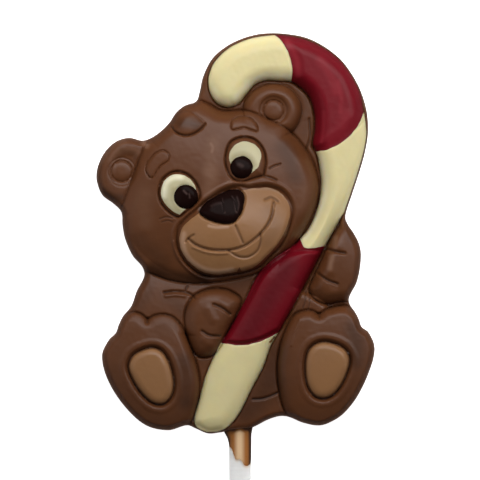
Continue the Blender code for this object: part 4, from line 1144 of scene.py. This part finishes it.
def ranged(tree, value, low, high, out_low=0.0, out_high=1.0):
    """Maps a value from one range to another, clamped."""
    inputs = {0: value, 1: low, 2: high, 3: out_low, 4: out_high}
    return add_node(tree, "ShaderNodeMapRange", inputs)


def noise(tree, place, scale, detail=3.0):
    """Noise over the object, with the scale in bumps for each metre."""
    return add_node(tree, "ShaderNodeTexNoise", {"Vector": place, "Scale": scale, "Detail": detail})


def attribute(tree, name):
    """A number stored on the mesh by paint."""
    return add_node(tree, "ShaderNodeAttribute", {}, 2, attribute_name=name)


def new_material(name):
    """An empty material and its node tree."""
    made = bpy.data.materials.new(name)
    made.use_nodes = True
    return made, made.node_tree


def set_values(shader, values):
    """Sets the shader's own sockets, by name."""
    for socket, value in values.items():
        shader.inputs[socket].default_value = value


def link_shader(tree, colour, roughness, relief):
    """Links the colour, roughness and bump of a material, and gives its shader."""
    shader = tree.nodes["Principled BSDF"]
    normal = add_node(tree, "ShaderNodeBump", relief)
    for socket, source in (("Base Color", colour), ("Roughness", roughness), ("Normal", normal)):
        tree.links.new(source, shader.inputs[socket])
    return shader


def chocolate(name, base, deep, painted_highlight, stain, rough, glow, shine):
    """Moulded chocolate: cloudy colour, painted highlights and shade, stains, satin gloss, fine
    unevenness.
    """
    made, tree = new_material(name)
    place = add_node(tree, "ShaderNodeTexCoord", {}, 3)
    cloud = noise(tree, place, scale=190.0, detail=4.0)
    grain = noise(tree, place, scale=1500.0)
    painted_shading = attribute(tree, "painted_shading")
    clouded = ranged(tree, cloud, 0.35, 0.75, 0.0, CLOUDINESS)
    colour = mixed(tree, clouded, linear(base), linear(deep))
    # Painted highlights mix towards the pale colour, painted shade towards the deep one
    colour = mixed(tree, ranged(tree, painted_shading, 0.0, 1.0), colour, linear(painted_highlight))
    colour = mixed(tree, ranged(tree, painted_shading, 0.0, -1.0), colour, linear(deep))
    patchy = {0: attribute(tree, "stain"), 1: grain}
    broken = add_node(tree, "ShaderNodeMath", patchy, operation="ADD")
    colour = mixed(tree, ranged(tree, broken, 0.85, 1.15), colour, linear(stain))
    roughness = ranged(tree, cloud, 0.3, 0.7, rough - 0.05, rough + 0.07)
    relief = {"Height": grain, "Strength": 0.25, "Distance": 0.00003}
    set_values(link_shader(tree, colour, roughness, relief), {
        "Specular IOR Level": shine,
        "Subsurface Weight": glow,
        "Subsurface Radius": (1.0, 0.7, 0.4),
        "Subsurface Scale": 0.0009,
    })
    return made


def paper(name):
    """Rolled white paper with faint fibres across the stick."""
    made, tree = new_material(name)
    place = add_node(tree, "ShaderNodeTexCoord", {}, 3)
    across = add_node(tree, "ShaderNodeMapping", {"Vector": place, "Scale": (0.3, 2.6, 0.3)})
    fibre = noise(tree, across, scale=900.0, detail=5.0)
    cloud = noise(tree, place, scale=250.0)
    soaked = ranged(tree, attribute(tree, "stain"), 0.0, 1.0)
    colour = mixed(tree, ranged(tree, fibre, 0.3, 0.7), linear(PAPER_WHITE), linear(PAPER_FIBRE))
    colour = mixed(tree, ranged(tree, cloud, 0.45, 0.8, 0.0, 0.3), colour, linear(PAPER_CLOUD))
    colour = mixed(tree, soaked, colour, linear(PAPER_SOAKED))
    roughness = ranged(tree, fibre, 0.3, 0.7, 0.55, 0.7)
    relief = {"Height": fibre, "Strength": 0.35, "Distance": 0.00003}
    set_values(link_shader(tree, colour, roughness, relief), {
        "Specular IOR Level": 0.35,
        "Subsurface Weight": 0.9,
        "Subsurface Radius": (1.0, 1.0, 1.0),
        "Subsurface Scale": 0.0025,
    })
    return made


def finishes():
    """The material of each slot, with those of the eyes' whites and of the film."""
    found = {name: chocolate(name, *look) for name, look in CHOCOLATES.items()}
    found["stick_paper"] = paper("stick_paper")
    return found


def face_shading(node, face, flat, depth, shade):
    """Painted highlights and shade at each point, with painted shade in the grooves and a painted sheen
    on the body's outer edge. The back and the pockets stay plain.
    """
    count = len(face)
    painted_shading = np.zeros(len(flat))
    painted_shading[:count] = strokes(flat[:count], PAINTED_SHADING_STROKES.get(node, [])) - shade[face]
    # Painted sheen along the body's outer edge
    if node == "body":
        painted_shading[:count] += EDGE_SHEEN * bell(depth[face] / EDGE_SHEEN_WIDTH)
    return painted_shading


def make_chocolates(finish):
    """All the chocolate pieces, from the one shared plan."""
    places, triangles, label = plan()
    depth = depth_in(resampled(smooth(SILHOUETTE), LINE_SPACING), places)
    heights, shade = moulded_face(places, depth.clip(0, None))
    for row in frame["record"]["subparts"]:
        node, slot = row["node"], row["material_slot"]
        if node == "stick":
            continue
        if node == "body":
            shell = body_shell(places, heights, triangles, label)
        else:
            shell = inlay(node, places, heights, triangles[label == node])
        coordinates = shell.coordinates()
        look = "eye_white" if node.startswith("eye_white") else slot
        piece = add_piece(node + "_piece", node, coordinates, shell.faces, finish[look])
        flat = coordinates[:, :2]
        # Painted highlights and shade, one number for each point, which the material mixes into its
        # colour
        paint(piece, "painted_shading", face_shading(node, shell.used, flat, depth, shade))
        paint(piece, "stain", strokes(flat, STAINS.get(node, [])))
        if node == "body":
            cut_socket(piece)


def socket_cutter():
    """A plain bar on the stick's axis."""
    bpy.ops.mesh.primitive_cylinder_add(
        vertices=SOCKET_SIDES,
        radius=(STICK_RADIUS - SOCKET_GRIP) * MM,
        depth=SOCKET_CUT_LENGTH * MM,
        location=(0, (STICK_TOP_Y - SOCKET_CUT_LENGTH / 2) * MM, STICK_AXIS_Z * MM),
        rotation=(math.radians(90), 0, 0),
    )
    return bpy.context.object


def cut_socket(piece):
    """Opens the hole that the stick is set in."""
    cutter = socket_cutter()
    cut = piece.modifiers.new("socket", "BOOLEAN")
    cut.operation = "DIFFERENCE"
    cut.solver = "EXACT"
    cut.object = cutter
    bpy.context.view_layer.objects.active = piece
    bpy.ops.object.modifier_apply(modifier=cut.name)
    bpy.data.objects.remove(cutter)


def band(first, second, sides):
    """Faces that join two rings of points, given the index where each starts."""
    faces = []
    for i in range(sides):
        j = (i + 1) % sides
        faces.append((first + i, first + j, second + j, second + i))
    return faces


def tube(rings, sides):
    """Faces that join rows of points round an axis."""
    faces = []
    for start in range(0, (rings - 1) * sides, sides):
        faces += band(start + sides, start, sides)
    return faces


def about_axis(y, radius, turn):
    """Points at this radius from the stick's axis, with the turn measured from the front."""
    return np.stack([radius * np.sin(turn), y, STICK_AXIS_Z + radius * np.cos(turn)], axis=-1)


def make_stick(finish):
    """The rolled paper stick: slightly uneven round, with a seam and eased ends."""
    end_y = STICK_TOP_Y - STICK_LENGTH
    turn = np.linspace(0, 2 * math.pi, STICK_SIDES, endpoint=False)
    skin = np.linspace(STICK_TOP_Y - STICK_EASE, end_y + STICK_EASE, STICK_ROWS)
    along = np.concatenate([[STICK_TOP_Y] * 2, skin, [end_y] * 2])
    base = np.full(len(along), STICK_RADIUS)
    base[[1, -2]] -= STICK_EASE
    base[[0, -1]] = STICK_END_RADIUS
    y, turns = np.meshgrid(along, turn, indexing="ij")
    amount, size, seed = STICK_WAVES
    ripple = waves(np.stack([along, np.zeros(len(along))], axis=1), size, seed)
    seam = bell((np.angle(np.exp(1j * (turns - SEAM_TURN - y * SEAM_TWIST)))) / SEAM_WIDTH)
    outer = (base > STICK_END_RADIUS)[:, None]
    uneven = amount * ripple[:, None] - SEAM_DEPTH * seam - STICK_SKIN_INSET
    radius = base[:, None] + outer * uneven
    points = about_axis(y, radius, turns).reshape(-1, 3)
    faces = tube(len(along), STICK_SIDES)
    faces.append(tuple(range(STICK_SIDES)))
    faces.append(tuple(range(len(points) - 1, len(points) - STICK_SIDES - 1, -1)))
    stick = add_piece("stick_piece", "stick", points, faces, finish["stick_paper"])
    paint(stick, "stain", SOAK_TONE * bell((y - film_end(turns)) / SOAK_WIDTH).reshape(-1))


def film_end(turns):
    """Where the chocolate film on the stick ends, in mm along Y, round the stick."""
    u, v = np.array(FILM_EDGE, float).T
    angle = np.arcsin(np.clip((u - ORIGIN_U) * UNIT / STICK_RADIUS, -1, 1))
    angle = np.concatenate([[-math.pi], angle, [math.pi]])
    low = np.concatenate([[FILM_BACK_V], v, [FILM_BACK_V]])
    turns = np.angle(np.exp(1j * turns))
    return (ORIGIN_V - np.interp(turns, angle, low)) * UNIT


def film_rows(turn, end):
    """The film's skin as rows of points, from inside the bear to its ragged end."""
    share, size, seed = FILM_WAVES
    rows = []
    for part in np.linspace(0, 1, FILM_ROWS) ** FILM_ROW_POWER:
        y = FILM_TOP_Y + (end - FILM_TOP_Y) * part
        uneven = 1 + share * waves(np.stack([turn * FILM_AROUND, y], axis=1), size, seed)
        thick = FILM_THICKNESS * rounded((y - end) / FILM_END_ROUND) * uneven
        radius = STICK_RADIUS + np.clip(thick, FILM_LEAST, FILM_MOST)
        for height, middle, low in FILM_FILLETS:
            fillet = height * bell((turn - middle) / FILLET_WIDTH) * eased((y - low) / FILLET_FADE)
            radius = radius + fillet
        rows.append(about_axis(y, radius, turn))
    inner = np.full(FILM_SIDES, STICK_RADIUS - FILM_SINK)
    rows.append(about_axis(end, inner, turn))
    rows.append(about_axis(np.full(FILM_SIDES, FILM_TOP_Y), inner, turn))
    return rows


def make_film(finish):
    """The thin film of chocolate that ran down the stick."""
    turn = np.linspace(0, 2 * math.pi, FILM_SIDES, endpoint=False)
    amount, size, seed = FILM_END_WAVES
    around = np.stack([turn * FILM_END_AROUND, np.zeros(FILM_SIDES)], axis=1)
    rows = film_rows(turn, film_end(turn) + amount * waves(around, size, seed))
    points = np.concatenate(rows)
    faces = tube(len(rows), FILM_SIDES) + band(0, len(points) - FILM_SIDES, FILM_SIDES)
    film = add_piece("stick_film", None, points, faces, finish["film_chocolate"])
    # Painted highlight along the stick's top, painted shade down its sides, and a painted shadow where
    # the film meets the bear
    angle = np.arctan2(points[:, 0], points[:, 2] - STICK_AXIS_Z)
    painted_highlight = FILM_HIGHLIGHT * bell((angle - FILM_HIGHLIGHT_TURN) / FILM_HIGHLIGHT_WIDTH)
    side_shade = eased((np.abs(angle - FILM_DARK_TURN) - FILM_DARK_START) / FILM_DARK_BLEND)
    root = FILM_ROOT_SHADOW * eased((points[:, 1] - FILM_ROOT_Y) / FILM_ROOT_BLEND)
    paint(film, "painted_shading", painted_highlight - side_shade - root)
    paint(film, "stain", np.zeros(len(points)))


def area_light(name, place, size, power, in_gloss):
    """A soft rectangular white light that points at the origin."""
    lamp = bpy.data.lights.new(name, "AREA")
    lamp.shape = "RECTANGLE"
    lamp.size, lamp.size_y = size
    lamp.energy = power
    holder = bpy.data.objects.new(name, lamp)
    holder.location = place
    holder.rotation_euler = (Vector() - Vector(place)).to_track_quat("-Z", "Y").to_euler()
    holder.visible_glossy = in_gloss
    bpy.context.scene.collection.objects.link(holder)


def make_sky():
    """White light from all round, brighter overhead."""
    world = bpy.data.worlds.new("studio")
    world.use_nodes = True
    tree = world.node_tree
    direction = add_node(tree, "ShaderNodeTexCoord", {}, 0)
    height = add_node(tree, "ShaderNodeSeparateXYZ", {"Vector": direction}, 2)
    sky = tree.nodes["Background"]
    set_values(sky, {"Color": WHITE})
    tree.links.new(ranged(tree, height, *SKY_RISE, SKY_LOW, SKY_HIGH), sky.inputs["Strength"])
    bpy.context.scene.world = world


def make_floor():
    """A white light table, which the gloss doesn't show."""
    white, tree = new_material("floor")
    set_values(tree.nodes["Principled BSDF"], {
        "Base Color": (FLOOR_GREY, FLOOR_GREY, FLOOR_GREY, 1.0),
        "Roughness": FLOOR_ROUGHNESS,
        "Emission Color": WHITE,
        "Emission Strength": FLOOR_GLOW,
    })
    bpy.ops.mesh.primitive_plane_add(size=FLOOR_SIZE, location=(0, 0, -FLOOR_CLEARANCE))
    floor = bpy.context.object
    floor.name = "floor"
    floor.data.materials.append(white)
    floor.visible_glossy = False


def make_camera():
    """The camera straight above, at the photograph's framing."""
    camera = bpy.data.objects.new("camera", bpy.data.cameras.new("camera"))
    camera.data.sensor_width = SENSOR
    camera.data.lens = SENSOR * (CAMERA_HEIGHT - FOCUS_HEIGHT) / VIEW_WIDTH
    camera.location = (0.0, VIEW_CENTRE_Y, CAMERA_HEIGHT)
    bpy.context.scene.collection.objects.link(camera)
    bpy.context.scene.camera = camera
    bpy.context.scene.view_settings.view_transform = "Standard"


finish = finishes()
make_chocolates(finish)
make_stick(finish)
make_film(finish)
make_sky()
for name, lamp in LAMPS.items():
    area_light(name, *lamp)
make_floor()
make_camera()
